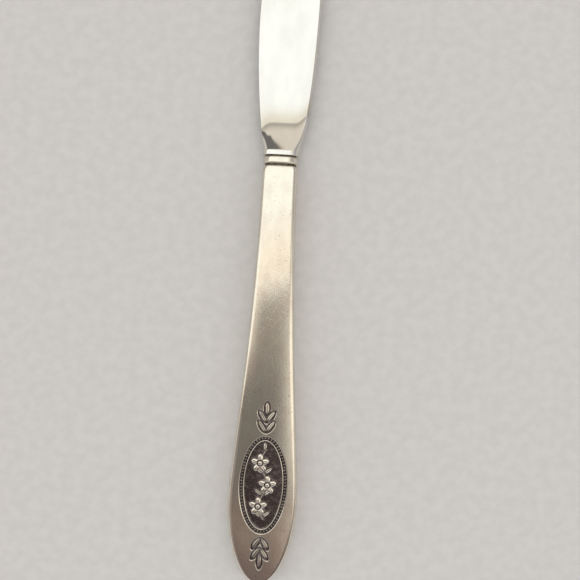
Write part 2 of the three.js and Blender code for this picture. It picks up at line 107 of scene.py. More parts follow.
def linear(hex_colour: str) -> tuple[float, float, float, float]:
    """Turns an sRGB hex colour to linear light.

    Args:
        hex_colour: the colour as "#RRGGBB".

    Returns:
        Red, green, blue and an alpha of 1.
    """
    shares = [int(hex_colour[start:start + 2], 16) / 255 for start in (1, 3, 5)]
    toe = 0.04045
    return (*(s / 12.92 if s <= toe else ((s + 0.055) / 1.055) ** 2.4 for s in shares), 1.0)


def smooth(value: Array, low: float, high: float) -> Array:
    """Rises smoothly from 0 at one level to 1 at another.

    Args:
        value: what is compared with the levels.
        low: level that gives 0.
        high: level that gives 1.

    Returns:
        The rise, in the shape of the value.
    """
    share = np.clip((value - low) / (high - low), 0, 1)
    return share * share * (3 - 2 * share)


def bezier(start: Sequence[float], leave: Sequence[float], arrive: Sequence[float],
           end: Sequence[float]) -> Array:
    """Draws a cubic curve.

    Args:
        start: its first point.
        leave: the point that it leaves the first one towards.
        arrive: the point that it reaches the last one from.
        end: its last point.

    Returns:
        Points along the curve, one to a row.
    """
    share = np.linspace(0, 1, CURVE_STEPS)[:, None]
    rest = 1 - share
    corners = [np.array(corner, dtype=float) for corner in (start, leave, arrive, end)]
    weights = (rest**3, 3 * rest**2 * share, 3 * rest * share**2, share**3)
    return sum(weight * corner for weight, corner in zip(weights, corners))


def corner_height(from_side: Array, half_height: Array, roll: float) -> Array:
    """Half-thickness of a section that is flat in the middle and has rounded corners.

    Args:
        from_side: distance from the nearer side.
        half_height: half-thickness of the flat middle.
        roll: radius of the corners.

    Returns:
        The half-thickness there.
    """
    radius = np.minimum(roll, half_height)
    into_corner = np.clip(1 - from_side / radius, 0, 1)
    return half_height - radius * (1 - np.sqrt(1 - into_corner**2))


def crown_fall(across: Array, half_width: Array | float, fall: Array | float) -> Array:
    """How far a crowned face has fallen away.

    Args:
        across: places across the face, from its middle.
        half_width: half of the face's width.
        fall: how far it falls at its sides.

    Returns:
        The fall at each place.
    """
    return fall * np.abs(across / half_width) ** CROWN_FULLNESS


def rounded_rise(from_edge: Array, radius: float) -> Array:
    """Height of a rounded edge above the foot of its rounding.

    Args:
        from_edge: distance in from the edge.
        radius: radius of the rounding.

    Returns:
        The height there, which is the radius beyond the rounding.
    """
    return np.sqrt(np.maximum(radius**2 - np.maximum(radius - from_edge, 0) ** 2, 0))


def points_of(across: Array, along: Array, up: Array) -> Array:
    """Joins rows of coordinates to points.

    Args:
        across: place across the knife, one row for each section.
        along: place along the knife, one for each section.
        up: height above the seam, one row for each section.

    Returns:
        The points, with x, y and z on the last axis.
    """
    return np.stack([across, np.broadcast_to(along[:, None], across.shape), up], axis=-1)


@dataclass(frozen=True)
class Datum:
    """Where the knife's own lines lie in the frame, in millimetres."""

    butt: float
    mouth: float
    ferrule_base: float
    ferrule_top: float
    bolster_base: float
    tang_end: float
    tip: float
    seam: float

    @classmethod
    def from_frame(cls) -> "Datum":
        """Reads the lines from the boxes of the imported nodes.

        Returns:
            The lines.
        """
        front_low, front_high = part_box("handle_front")
        back_low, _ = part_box("handle_back")
        ferrule_low, ferrule_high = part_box("ferrule")
        _, solder_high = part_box("bolster_solder")
        blade_low, blade_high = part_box("blade")
        return cls(
            butt=front_low.y / MM,
            mouth=front_high.y / MM,
            ferrule_base=ferrule_low.y / MM,
            ferrule_top=ferrule_high.y / MM,
            bolster_base=solder_high.y / MM,
            tang_end=blade_low.y / MM,
            tip=blade_high.y / MM,
            seam=(front_high.z + back_low.z) / 2 / MM,
        )


class Skin:
    """Points and faces of one closed piece, gathered in millimetres."""

    def __init__(self) -> None:
        """Starts with no points and no faces."""
        self._points: list[Array] = []
        self._faces: list[list[int]] = []
        self._marks: dict[Mark, list[Array]] = {mark: [] for mark in Mark}
        self._count = 0

    def add(self, points: Array, marks: dict[Mark, Array] | None = None) -> Array:
        """Adds points.

        Args:
            points: the points, with x, y and z on the last axis.
            marks: levels of wear and painted light, from worn bright under a painted highlight (-1) to dark
                (1), which is oxide on the handle and painted shade on the blade, and of film (0 to 1), where
                there are any.

        Returns:
            The points' numbers in the mesh, in the shape of the points.
        """
        flat = points.reshape(-1, 3)
        numbers = np.arange(self._count, self._count + len(flat))
        self._points.append(flat)
        for mark, levels in self._marks.items():
            levels.append((marks or {}).get(mark, np.zeros(len(flat))).reshape(-1))
        self._count += len(flat)
        return numbers.reshape(points.shape[:-1])

    def grid(self, numbers: Array) -> None:
        """Adds the faces between neighbouring rows and columns of point numbers."""
        corners = (numbers[:-1, :-1], numbers[:-1, 1:], numbers[1:, 1:], numbers[1:, :-1])
        self._faces.extend(np.stack(corners, axis=-1).reshape(-1, 4).tolist())

    def tube(self, numbers: Array) -> None:
        """Adds the faces between rings of point numbers, each ring closed on itself."""
        self.grid(np.hstack([numbers, numbers[:, :1]]))

    def panel(self, *runs: Array) -> None:
        """Adds one flat face whose outline follows the runs of point numbers."""
        self._faces.append(np.concatenate(runs).tolist())

    def piece(self, name: str, datum: Datum, crease: float) -> bpy.types.Object:
        """Makes the mesh and puts it in the scene.

        Args:
            name: name of the new piece.
            datum: gives the height of the seam, from which the points are drawn.
            crease: angle in radians above which an edge stays sharp.

        Returns:
            The new piece.
        """
        mesh = bpy.data.meshes.new(name)
        places = (np.concatenate(self._points) + (0, 0, datum.seam)) * MM
        mesh.from_pydata(places.tolist(), [], self._faces)
        for mark, levels in self._marks.items():
            layer = mesh.attributes.new(mark.value, "FLOAT", "POINT")
            layer.data.foreach_set("value", np.concatenate(levels))
        draft = bmesh.new()
        draft.from_mesh(mesh)
        bmesh.ops.recalc_face_normals(draft, faces=draft.faces)
        draft.to_mesh(mesh)
        draft.free()
        mesh.shade_smooth()
        mesh.set_sharp_from_angle(angle=crease)
        piece = bpy.data.objects.new(name, mesh)
        bpy.context.collection.objects.link(piece)
        return piece


@dataclass(frozen=True)
class Section:
    """A section with a flat or crowned face, rounded corners and sides that may lean in from the seam."""

    roll: float
    draft: float = 0.0
    across_steps: int = 24
    roll_steps: int = 10

    def arch(self, half_width: Array, half_height: Array, low: float, fall: Array | float = 0.0,
             corner: tuple[Array, Array] | None = None) -> tuple[Array, Array]:
        """Draws the upper half of the section at several places, from -X over the top to +X.

        Args:
            half_width: half of the width at each place.
            half_height: half of the thickness at each place.
            low: height above the seam at which the section is cut off.
            fall: how far the crowned face falls away at its sides, at each place.
            corner: height and reach of the corners at each place, if they aren't round.

        Returns:
            Places across and up, one row for each place.
        """
        width = half_width[:, None]
        height = half_height[:, None]
        rise, reach = (self.roll, self.roll) if corner is None else (part[:, None] for part in corner)
        radius = np.minimum(rise, height)
        reach = np.minimum(reach, CORNER_SHARE * width)
        wall_top = height - radius * (1 - math.sin(self.draft))
        middle = width - wall_top * math.tan(self.draft) - reach * math.cos(self.draft)
        angle = np.linspace(self.draft, math.pi / 2, self.roll_steps + 1)
        foot = width - low * math.tan(self.draft)
        side = np.hstack([foot, middle + reach * np.cos(angle)])
        side_up = np.hstack([np.full_like(foot, low), height - radius * (1 - np.sin(angle))])
        flat = np.linspace(-1, 1, self.across_steps + 1)[1:-1]
        across = np.hstack([-side, middle * flat, side[:, ::-1]])
        up = np.hstack([side_up, height * np.ones_like(flat), side_up[:, ::-1]])
        up[:, 1:-1] -= crown_fall(across[:, 1:-1], width, np.reshape(fall, (-1, 1)))
        return across, up

    def ring(self, half_width: Array, half_height: Array, fall: float = 0.0) -> tuple[Array, Array]:
        """Draws the whole section at several places.

        Args:
            half_width: half of the width at each place.
            half_height: half of the thickness at each place.
            fall: how far its crowned faces fall away at their sides.

        Returns:
            Places across and up, one closed row for each place.
        """
        across, up = self.arch(half_width, half_height, 0.0, fall)
        return np.hstack([across, across[:, -2:0:-1]]), np.hstack([up, -up[:, -2:0:-1]])


@dataclass(frozen=True)
class TangRoom:
    """The tang's section, and the room that the other pieces leave round it."""

    width: float = 5.0
    thickness: float = 3.0
    roll: float = 0.8
    clearance: float = 0.3

    @property
    def half_width(self) -> Array:
        """Half of the opening's width."""
        return np.array([self.width / 2 + self.clearance])

    @property
    def half_height(self) -> Array:
        """Half of the opening's height."""
        return np.array([self.thickness / 2 + self.clearance])

    def opening(self, across_steps: int, roll_steps: int) -> Section:
        """Section of the opening, with the given numbers of points."""
        return Section(self.roll + self.clearance, 0.0, across_steps, roll_steps)


def add_node(tree: bpy.types.NodeTree, kind: str, settings: dict | None = None,
             links: dict | None = None) -> bpy.types.Node:
    """Adds one node to a tree.

    Args:
        tree: the tree of a material or of the world.
        kind: the node's type.
        settings: values of its sockets or properties, by name, or by number for a socket.
        links: sockets that feed its own, by name or number.

    Returns:
        The new node.
    """
    node = tree.nodes.new(kind)
    sockets = node.inputs
    for name, value in (settings or {}).items():
        if isinstance(name, int) or name in sockets:
            sockets[name].default_value = value
        else:
            setattr(node, name, value)
    for name, source in (links or {}).items():
        tree.links.new(source, sockets[name])
    return node


MIX_COLOUR_A, MIX_COLOUR_B, MIX_COLOUR_RESULT = 6, 7, 2  # sockets of a mix node set to colours


class Graph:
    """Node tree of a surface or of the room, with the steps that both share."""

    def __init__(self, tree: bpy.types.NodeTree) -> None:
        """Starts with an empty tree."""
        self.tree = tree
        tree.nodes.clear()

    def ramp(self, value: Socket, low: float, high: float, to: tuple[float, float] = (0.0, 1.0)) -> Socket:
        """Goes smoothly from one output to another.

        Args:
            value: the source.
            low: level of the source that gives the first output.
            high: level of the source that gives the second output.
            to: the two outputs.

        Returns:
            The ramp's socket.
        """
        levels = {"interpolation_type": "SMOOTHSTEP", "From Min": low, "From Max": high,
                  "To Min": to[0], "To Max": to[1]}
        return add_node(self.tree, "ShaderNodeMapRange", levels, {"Value": value}).outputs["Result"]

    def join(self, way: Join, *sources: Socket) -> Socket:
        """Joins patterns, from the first to the last.

        Args:
            way: how each is joined to those before it.
            sources: the patterns.

        Returns:
            The joined pattern's socket.
        """
        total = sources[0]
        for source in sources[1:]:
            both = add_node(self.tree, "ShaderNodeMath", {"operation": way.value}, {0: total, 1: source})
            total = both.outputs["Value"]
        return total

    def colour(self, share: Socket, first: Socket | str, second: Socket | str) -> Socket:
        """Mixes two colours.

        Args:
            share: how much of the second colour shows.
            first: a hex colour or a socket.
            second: a hex colour or a socket.

        Returns:
            The mixed colour's socket.
        """
        settings = {"data_type": "RGBA"}
        links = {0: share}
        for number, colour in ((MIX_COLOUR_A, first), (MIX_COLOUR_B, second)):
            if isinstance(colour, str):
                settings[number] = linear(colour)
            else:
                links[number] = colour
        return add_node(self.tree, "ShaderNodeMix", settings, links).outputs[MIX_COLOUR_RESULT]


class Finish(Graph):
    """Node tree of one surface, with the grain patterns that the finishes share."""

    def __init__(self, name: str) -> None:
        """Starts a material whose patterns lie in the knife's own coordinates.

        Args:
            name: the material's name.
        """
        self.material = bpy.data.materials.new(name)
        self.material.use_nodes = True
        super().__init__(self.material.node_tree)
        self.place = add_node(self.tree, "ShaderNodeTexCoord").outputs["Object"]

    def mark(self, mark: Mark) -> Socket:
        """Level of a mark at each point."""
        return add_node(self.tree, "ShaderNodeAttribute", {"attribute_name": mark.value}).outputs["Fac"]

    def grain(self, size: Sequence[float], turn: float = 0.0, low: float = 0.3, high: float = 0.7,
              detail: float = 2.0, to: tuple[float, float] = (0.0, 1.0)) -> Socket:
        """Makes a pattern of grains, lines or clouds.

        Args:
            size: width, length and height of one grain in millimetres.
            turn: angle between the grains and the knife's length, in radians.
            low: level of the noise that gives the first output.
            high: level of the noise that gives the second output.
            detail: how many finer layers the noise has.
            to: the two outputs.

        Returns:
            The pattern's socket.
        """
        mapping = {"vector_type": "TEXTURE", "Rotation": (0, 0, turn), "Scale": [s * MM for s in size]}
        laid = add_node(self.tree, "ShaderNodeMapping", mapping, {"Vector": self.place})
        texture = {"Scale": 1.0, "Detail": detail}
        noise = add_node(self.tree, "ShaderNodeTexNoise", texture, {"Vector": laid.outputs["Vector"]})
        return self.ramp(noise.outputs["Fac"], low, high, to)

    def relief(self, height: Socket, depth: float) -> Socket:
        """Bends the surface's normal by a pattern that is so many millimetres deep."""
        settings = {"Strength": 1.0, "Distance": depth * MM}
        return add_node(self.tree, "ShaderNodeBump", settings, {"Height": height}).outputs["Normal"]

    def surface(self, settings: dict, links: dict) -> bpy.types.Material:
        """Closes the tree with its shader.

        Args:
            settings: the shader's constant values.
            links: the patterns that feed it.

        Returns:
            The finished material.
        """
        shader = add_node(self.tree, "ShaderNodeBsdfPrincipled", settings, links)
        add_node(self.tree, "ShaderNodeOutputMaterial", None, {"Surface": shader.outputs["BSDF"]})
        return self.material


@dataclass(frozen=True)
class MirrorSteel:
    """Stainless steel, forged and then buffed bright along the blade."""

    name: str = "stainless_steel_mirror_buffed"
    body: str = "#DFDEDA"
    cloud: str = "#DAD8D4"
    buff_line: tuple[float, float, float] = (0.3, 14.0, 14.0)
    scratch: tuple[float, float, float] = (0.3, 5.0, 5.0)
    film: str = "#9D874B"
    # Painted shade along the crease under the cove's foot
    painted_crease_shade: str = "#6B6964"
    smear: tuple[float, float, float] = (5.0, 9.0, 9.0)
    scratch_turn: float = math.radians(28)
    depth: float = 0.0012
    roughness: tuple[float, float] = (0.05, 0.09)

    def material(self) -> bpy.types.Material:
        """Makes the material: a clear image of the room, hardly broken by fine lines.

        Returns:
            The material.
        """
        finish = Finish(self.name)
        # Buffing lines are finer than a pixel and are drawn coarser, so that they show at all
        lines = finish.grain(self.buff_line, low=0.35, high=0.65)
        stray = finish.grain(self.scratch, self.scratch_turn, 0.64, 0.72)
        smear = finish.grain(self.smear, low=0.35, high=0.7)
        gloss = finish.grain(self.smear, low=0.3, high=0.75, to=self.roughness)
        buffed = finish.colour(smear, self.body, self.cloud)
        filmed = finish.colour(finish.mark(Mark.FILM), buffed, self.film)
        links = {
            # The wear mark darkens the steel to a painted shade along the crease under the cove's foot
            "Base Color": finish.colour(finish.mark(Mark.WEAR_AND_PAINTED_LIGHT), filmed, self.painted_crease_shade),
            "Roughness": gloss,
            "Normal": finish.relief(finish.join(Join.SUM, lines, stray), self.depth),
        }
        return finish.surface({"Metallic": 1.0}, links)


@dataclass(frozen=True)
class PolishedPlate:
    """Silver plate over steel, turned and then polished on the ring."""

    name: str = "silver_plate_polished"
    body: str = "#DED8CC"
    dulled: str = "#CDC5B7"
    cloud_size: tuple[float, float, float] = (2.4, 1.2, 2.4)
    line: tuple[float, float, float] = (4.0, 0.2, 4.0)
    depth: float = 0.0015
    roughness: tuple[float, float] = (0.1, 0.22)

    def material(self) -> bpy.types.Material:
        """Makes the material: a warm soft mirror with faint lines round the ring and dull clouds.

        Returns:
            The material.
        """
        finish = Finish(self.name)
        clouds = finish.grain(self.cloud_size, low=0.5, high=0.78)
        lines = finish.grain(self.line, low=0.35, high=0.65)
        links = {
            "Base Color": finish.colour(clouds, self.body, self.dulled),
            "Roughness": finish.grain(self.cloud_size, low=0.4, high=0.8, to=self.roughness),
            "Normal": finish.relief(lines, self.depth),
        }
        return finish.surface({"Metallic": 1.0}, links)


@dataclass(frozen=True)
class SatinPlate:
    """Silver plate with a satin finish, worn by use, dark with oxide in its recesses and painted with
    highlights on its ridges.
    """

    name: str = "silver_plate_satin_worn"
    body: str = "#DFDBCF"
    worn: str = "#D9D1C5"
    # Worn silver on the raised parts, made brighter still as a painted highlight
    burnish_and_highlight: str = "#F6EFE6"
    speck: str = "#A0978B"
    oxide: str = "#625A5A"
    oxide_thin: str = "#8A7F7F"
    brush_line: tuple[float, float, float] = (0.3, 10.0, 10.0)
    scratch: tuple[float, float, float] = (0.28, 5.5, 5.5)
    cloud_size: tuple[float, float, float] = (3.0, 6.0, 6.0)
    grit: tuple[float, float, float] = (0.4, 0.6, 0.4)
    pit: tuple[float, float, float] = (0.5, 0.5, 0.5)
    mottle: tuple[float, float, float] = (1.1, 1.1, 1.1)
    scratch_turns: tuple[float, ...] = (math.radians(24), math.radians(-33), math.radians(68))
    scratch_share: float = 1.4
    depth: float = 0.0012
    roughness: tuple[float, float] = (0.07, 0.1)
    oxide_roughness: float = 0.14

    def material(self) -> bpy.types.Material:
        """Makes the material: a blurred warm sheen with lengthwise lines, fine scratches and specks.

        Returns:
            The material.
        """
        finish = Finish(self.name)
        wear = finish.mark(Mark.WEAR_AND_PAINTED_LIGHT)
        # Positive wear is oxide in the recesses; negative wear is burnish with a painted highlight
        oxidised = finish.ramp(wear, 0.0, 1.0)
        rubbed_and_highlit = finish.ramp(wear, 0.0, -1.0)
        # Satin lines are about 0.05 mm apart, too fine to show, and are drawn coarser
        lines = finish.grain(self.brush_line)
        grit = finish.grain(self.grit)
        scratches = [finish.grain(self.scratch, turn, 0.62, 0.7, to=(0.0, self.scratch_share))
                     for turn in self.scratch_turns]
        clouds = finish.grain(self.cloud_size, low=0.35, high=0.7)
        pits = finish.grain(self.pit, low=0.66, high=0.76)
        aged = finish.colour(clouds, self.body, self.worn)
        specked = finish.colour(pits, aged, self.speck)
        plate = finish.colour(rubbed_and_highlit, specked, self.burnish_and_highlight)
        oxide = finish.colour(finish.grain(self.mottle, low=0.45, high=0.75), self.oxide, self.oxide_thin)
        gloss = finish.grain(self.cloud_size, to=self.roughness)
        dulled = finish.ramp(wear, 0.0, 1.0, (0.0, self.oxide_roughness))
        links = {
            "Base Color": finish.colour(oxidised, plate, oxide),
            "Roughness": finish.join(Join.SUM, gloss, dulled),
            "Normal": finish.relief(finish.join(Join.SUM, lines, grit, *scratches), self.depth),
        }
        return finish.surface({"Metallic": 1.0}, links)


@dataclass(frozen=True)
class DullSolder:
    """Silver solder, filed flush and never polished, dark with age."""

    name: str = "silver_solder_tarnished"
    body: str = "#776F63"
    dark: str = "#4A443C"
    cloud_size: tuple[float, float, float] = (0.8, 0.8, 0.8)
    depth: float = 0.01
    roughness: tuple[float, float] = (0.42, 0.6)

    def material(self) -> bpy.types.Material:
        """Makes the material: a dim, uneven line of metal between the bright pieces.

        Returns:
            The material.
        """
        finish = Finish(self.name)
        clouds = finish.grain(self.cloud_size)
        links = {
            "Base Color": finish.colour(clouds, self.body, self.dark),
            "Roughness": finish.grain(self.cloud_size, to=self.roughness),
            "Normal": finish.relief(clouds, self.depth),
        }
        return finish.surface({"Metallic": 1.0}, links)


@dataclass(frozen=True)
class SetCement:
    """Cutler's cement, poured in and set hard."""

    name: str = "cutlers_cement_set"
    body: str = "#C4B8A3"
    dark: str = "#9F937E"
    grain_size: tuple[float, float, float] = (0.6, 0.6, 0.6)
    depth: float = 0.05
    roughness: float = 0.9
    ior: float = 1.5

    def material(self) -> bpy.types.Material:
        """Makes the material: matt, sandy and beige.

        Returns:
            The material.
        """
        finish = Finish(self.name)
        sand = finish.grain(self.grain_size, detail=4.0)
        links = {
            "Base Color": finish.colour(sand, self.body, self.dark),
            "Normal": finish.relief(sand, self.depth),
        }
        return finish.surface({"Roughness": self.roughness, "IOR": self.ior}, links)


@dataclass(frozen=True)
class MattCard:
    """Heavy uncoated card, the pale table that the knife lies on."""

    name: str = "card_matt_uncoated"
    body: str = "#F1F2F4"
    fibre: str = "#EBECEE"
    fibre_size: tuple[float, float, float] = (3.0, 3.0, 3.0)
    roughness: float = 0.95
    ior: float = 1.45

    def material(self) -> bpy.types.Material:
        """Makes the material: plain, pale and without gloss.

        Returns:
            The material.
        """
        finish = Finish(self.name)
        fibres = finish.grain(self.fibre_size, detail=3.0)
        links = {"Base Color": finish.colour(fibres, self.body, self.fibre)}
        return finish.surface({"Roughness": self.roughness, "IOR": self.ior}, links)


def tie(piece: bpy.types.Object, slot: Slot, material: bpy.types.Material, *nodes: str) -> None:
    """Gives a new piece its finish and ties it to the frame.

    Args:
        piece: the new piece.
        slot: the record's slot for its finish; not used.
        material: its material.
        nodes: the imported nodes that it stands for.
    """
    piece.data.materials.append(material)
    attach(piece, BODY)
    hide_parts(*nodes)
    log.info("%s: %d points, stands for %s", piece.name, len(piece.data.vertices), ", ".join(nodes))


def dress(node: str, material: bpy.types.Material) -> None:
    """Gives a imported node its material, and leaves its shape as it is.

    Args:
        node: the node's name.
        material: its material.
    """
    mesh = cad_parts[node].data
    mesh.materials.clear()
    mesh.materials.append(material)
    log.info("%s: packed solid, dressed with %s", node, material.name)


@dataclass(frozen=True)
class Blade:
    """Blade, bolster and tang: one forging.

    The cove leads from the bolster to the flat of the blade, and ends in a soft crease at its foot. Its
    lengths start at the top of the bolster, and the places of the furthest reach at its underside. The
    sizes of the film and of the painted shade line belong to the marks on the two sides of the cove's foot.
    """

    datum: Datum
    tang: TangRoom
    finish: MirrorSteel = field(default_factory=MirrorSteel)
    bolster_length: float = 1.35
    bolster_width: float = 10.5
    bolster_thickness: float = 7.1
    bolster_fall: float = 0.6
    bolster_roll: float = 1.6
    bolster_ease: float = 0.12
    cove_length: float = 8.7
    cove_edge_length: float = 6.8
    cove_spine_length: float = 12.5
    cove_side_share: float = 0.28
    cove_bend: float = 2.2
    cove_crease: float = 0.36
    cove_swell: float = 1.8
    cove_ease: float = 0.04
    film_share: float = 0.41
    film_fade: float = 3.2
    film_end: float = 0.25
    # A line of painted shade along the crease, just under the cove's foot
    shade_line_share: float = 0.48
    shade_line_drop: float = 0.7
    shade_line_rise: float = 0.45
    shade_line_fall: float = 1.25
    spine_thickness: float = 2.2
    tip_thickness: float = 1.2
    edge_thickness: float = 0.4
    spine_round: float = 0.7
    tip_round: float = 0.8
    edge_belly: float = 8.18
    edge_belly_at: float = 38.2
    edge_flare: tuple[float, float] = (3.1, 0.3)
    edge_ease: tuple[float, float] = (19.7, 18.0)
    edge_tip_sweep: float = 8.6
    spine_reach: float = 9.7
    spine_reach_at: float = 66.0
    spine_flare: tuple[float, float] = (7.0, 1.9)
    spine_ease: tuple[float, float] = (45.0, 26.0)
    spine_tip_sweep: float = 3.2
    tip_offset: float = 5.4
    section_steps: int = 52
    bolster_steps: int = 10
    cove_steps: int = 64
    blade_steps: int = 120
    crease: float = math.radians(38)

    @property
    def bolster_top(self) -> float:
        """Place along the knife where the bolster ends and the cove begins."""
        return self.datum.bolster_base + self.bolster_length

    @property
    def cove_top(self) -> float:
        """Place along the knife where the cove has run out everywhere."""
        return self.bolster_top + max(self.cove_length, self.cove_edge_length, self.cove_spine_length)

    def _line(self, side: float, reach: float, reach_at: float, flare: tuple[float, float],
              ease: tuple[float, float], tip_sweep: float) -> Array:
        """Draws one side of the blade's outline.

        Args:
            side: 1 for the spine and -1 for the cutting edge.
            reach: furthest reach from the knife's axis.
            reach_at: where that is, from the underside of the bolster.
            flare: run and rise of the first stretch above the bolster.
            ease: how gently the line comes to its furthest reach and leaves it.
            tip_sweep: how broadly it turns into the tip.

        Returns:
            Points along and across, one to a row.
        """
        start = self.bolster_width / 2
        widest = self.datum.bolster_base + reach_at
        tip = self.datum.tip
        lower = bezier((self.bolster_top, side * start),
                       (self.bolster_top + flare[0], side * (start + flare[1])),
                       (widest - ease[0], side * reach), (widest, side * reach))
        upper = bezier((widest, side * reach), (widest + ease[1], side * reach),
                       (tip, self.tip_offset + side * tip_sweep), (tip, self.tip_offset))
        return np.vstack([lower, upper[1:]])

    def _stations(self) -> Array:
        """Spaces the sections along the knife, close together in the cove and at the tip.

        Returns:
            Their places along the knife.
        """
        base = self.datum.bolster_base
        quarter = np.linspace(0, math.pi / 2, self.bolster_steps)
        eased = base + self.bolster_ease * (1 - np.cos(quarter))
        bolster = np.linspace(eased[-1], self.bolster_top, self.bolster_steps)[1:]
        cove = np.linspace(self.bolster_top, self.cove_top, self.cove_steps)[1:]
        to_tip = np.sin(np.linspace(0, math.pi / 2, self.blade_steps))[1:-1]
        flat = self.cove_top + (self.datum.tip - self.cove_top) * to_tip
        return np.concatenate([eased, bolster, cove, flat])

    def _cove_lengths(self, share: Array) -> Array:
        """Length of the cove at each place across it.

        Args:
            share: places across, from the cutting edge (0) to the spine (1).

        Returns:
            The lengths.
        """
        near_spine, near_edge = (np.maximum(1 - from_side / self.cove_side_share, 0) ** self.cove_bend
                                 for from_side in (1 - share, share))
        length = self.cove_length + (self.cove_spine_length - self.cove_length) * near_spine
        return length + (self.cove_edge_length - length) * near_edge

    def _marks(self, along: Array, share: Array) -> dict[Mark, Array]:
        """Marks on both faces: polishing film above the foot of the cove, and a line of painted shade just
        under it, in the crease.

        Args:
            along: places along the knife.
            share: places across it, from the cutting edge (0) to the spine (1).

        Returns:
            The level of each mark at each point of the rings.
        """
        above = along - self.bolster_top - self._cove_lengths(share)
        from_foot = above / np.where(above > 0, self.film_fade, self.film_end)
        # Painted shade just under the cove's foot, where the crease is
        under = -above - self.shade_line_drop
        from_shade_line = under / np.where(under > 0, self.shade_line_fall, self.shade_line_rise)
        levels = {Mark.FILM: self.film_share * np.exp(-from_foot**2),
                  Mark.WEAR_AND_PAINTED_LIGHT: self.shade_line_share * np.exp(-from_shade_line**2)}
        return {mark: np.hstack([level, level[:, ::-1]]) for mark, level in levels.items()}

    def _half_thickness(self, along: Array, from_edge: Array, from_spine: Array) -> Array:
        """Half of the forging's thickness: a wedge that swells through the cove to the bolster.

        Args:
            along: places along the knife.
            from_edge: distances from the cutting edge.
            from_spine: distances from the spine.

        Returns:
            The half-thickness at each place.
        """
        share = from_edge / (from_edge + from_spine)
        to_tip = np.clip((along - self.cove_top) / (self.datum.tip - self.cove_top), 0, 1)
        spine_half = (self.spine_thickness + (self.tip_thickness - self.spine_thickness) * to_tip) / 2
        edge_half = self.edge_thickness / 2
        wedge = edge_half + (spine_half - edge_half) * share
        flat = corner_height(from_spine, wedge, self.spine_round)
        nearest = np.minimum(from_edge, from_spine)
        rolled = corner_height(nearest, np.full_like(wedge, self.bolster_thickness / 2), self.bolster_roll)
        bolster = rolled - crown_fall(2 * share - 1, 1.0, self.bolster_fall)
        length = self._cove_lengths(share)
        up_cove = np.minimum(1 - (along - self.bolster_top) / length, 1)
        up_cove = np.minimum((up_cove + np.hypot(up_cove, self.cove_ease)) / 2, 1)
        crease = self.cove_crease * length / self.cove_length
        cove = crease * up_cove + (1 - crease) * up_cove**self.cove_swell
        full = flat + (np.maximum(bolster, flat) - flat) * cove
        into_tip = np.clip((along - self.datum.tip) / self.tip_round + 1, 0, 1)
        return np.maximum(full, edge_half) * np.sqrt(1 - into_tip**2)

    def _rings(self) -> tuple[Array, dict[Mark, Array]]:
        """Draws the forging above the ring.

        Returns:
            Rings of points from the underside of the bolster to the tip, and the marks on them.
        """
        along = self._stations()
        edges = self._line(-1, self.edge_belly, self.edge_belly_at, self.edge_flare, self.edge_ease,
                           self.edge_tip_sweep)
        spines = self._line(1, self.spine_reach, self.spine_reach_at, self.spine_flare, self.spine_ease,
                            self.spine_tip_sweep)
        into_ease = np.clip(1 - (along - self.datum.bolster_base) / self.bolster_ease, 0, 1)
        eased = (self.bolster_ease * (1 - np.sqrt(1 - into_ease**2)))[:, None]
        edge = np.interp(along, *edges.T)[:, None]
        spine = np.interp(along, *spines.T)[:, None]
        share = (1 - np.cos(np.linspace(0, math.pi, self.section_steps + 1))) / 2
        across = edge + (spine - edge) * share
        half = self._half_thickness(along[:, None], across - edge, spine - across) - eased
        middle = (edge + spine) / 2
        drawn_in = middle + (across - middle) * (1 - 2 * eased / (spine - edge))
        across = np.hstack([drawn_in, drawn_in[:, ::-1]])
        rings = points_of(across, along, np.hstack([-half, half[:, ::-1]]))
        return rings, self._marks(along[:, None], share)

    def _tang_rings(self) -> Array:
        """Draws the tang.

        Returns:
            Rings of points round both of its ends.
        """
        share = (1 - np.cos(np.linspace(0, math.pi, self.section_steps + 1))) / 2
        across = self.tang.width * (share - 0.5)
        from_side = self.tang.width / 2 - np.abs(across)
        flat = np.full_like(across, self.tang.thickness / 2)
        half = corner_height(from_side, flat, self.tang.roll)
        ends = np.array([self.datum.tang_end, self.datum.bolster_base])
        rows = np.tile(np.concatenate([across, across[::-1]]), (2, 1))
        return points_of(rows, ends, np.tile(np.concatenate([-half, half[::-1]]), (2, 1)))

    def build(self) -> None:
        """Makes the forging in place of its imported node."""
        skin = Skin()
        rings = np.vstack([skin.add(self._tang_rings()), skin.add(*self._rings())])
        skin.tube(rings)
        skin.panel(rings[0])
        skin.panel(rings[-1])
        piece = skin.piece("polished_blade", self.datum, self.crease)
        tie(piece, Slot.STEEL, self.finish.material(), "blade")


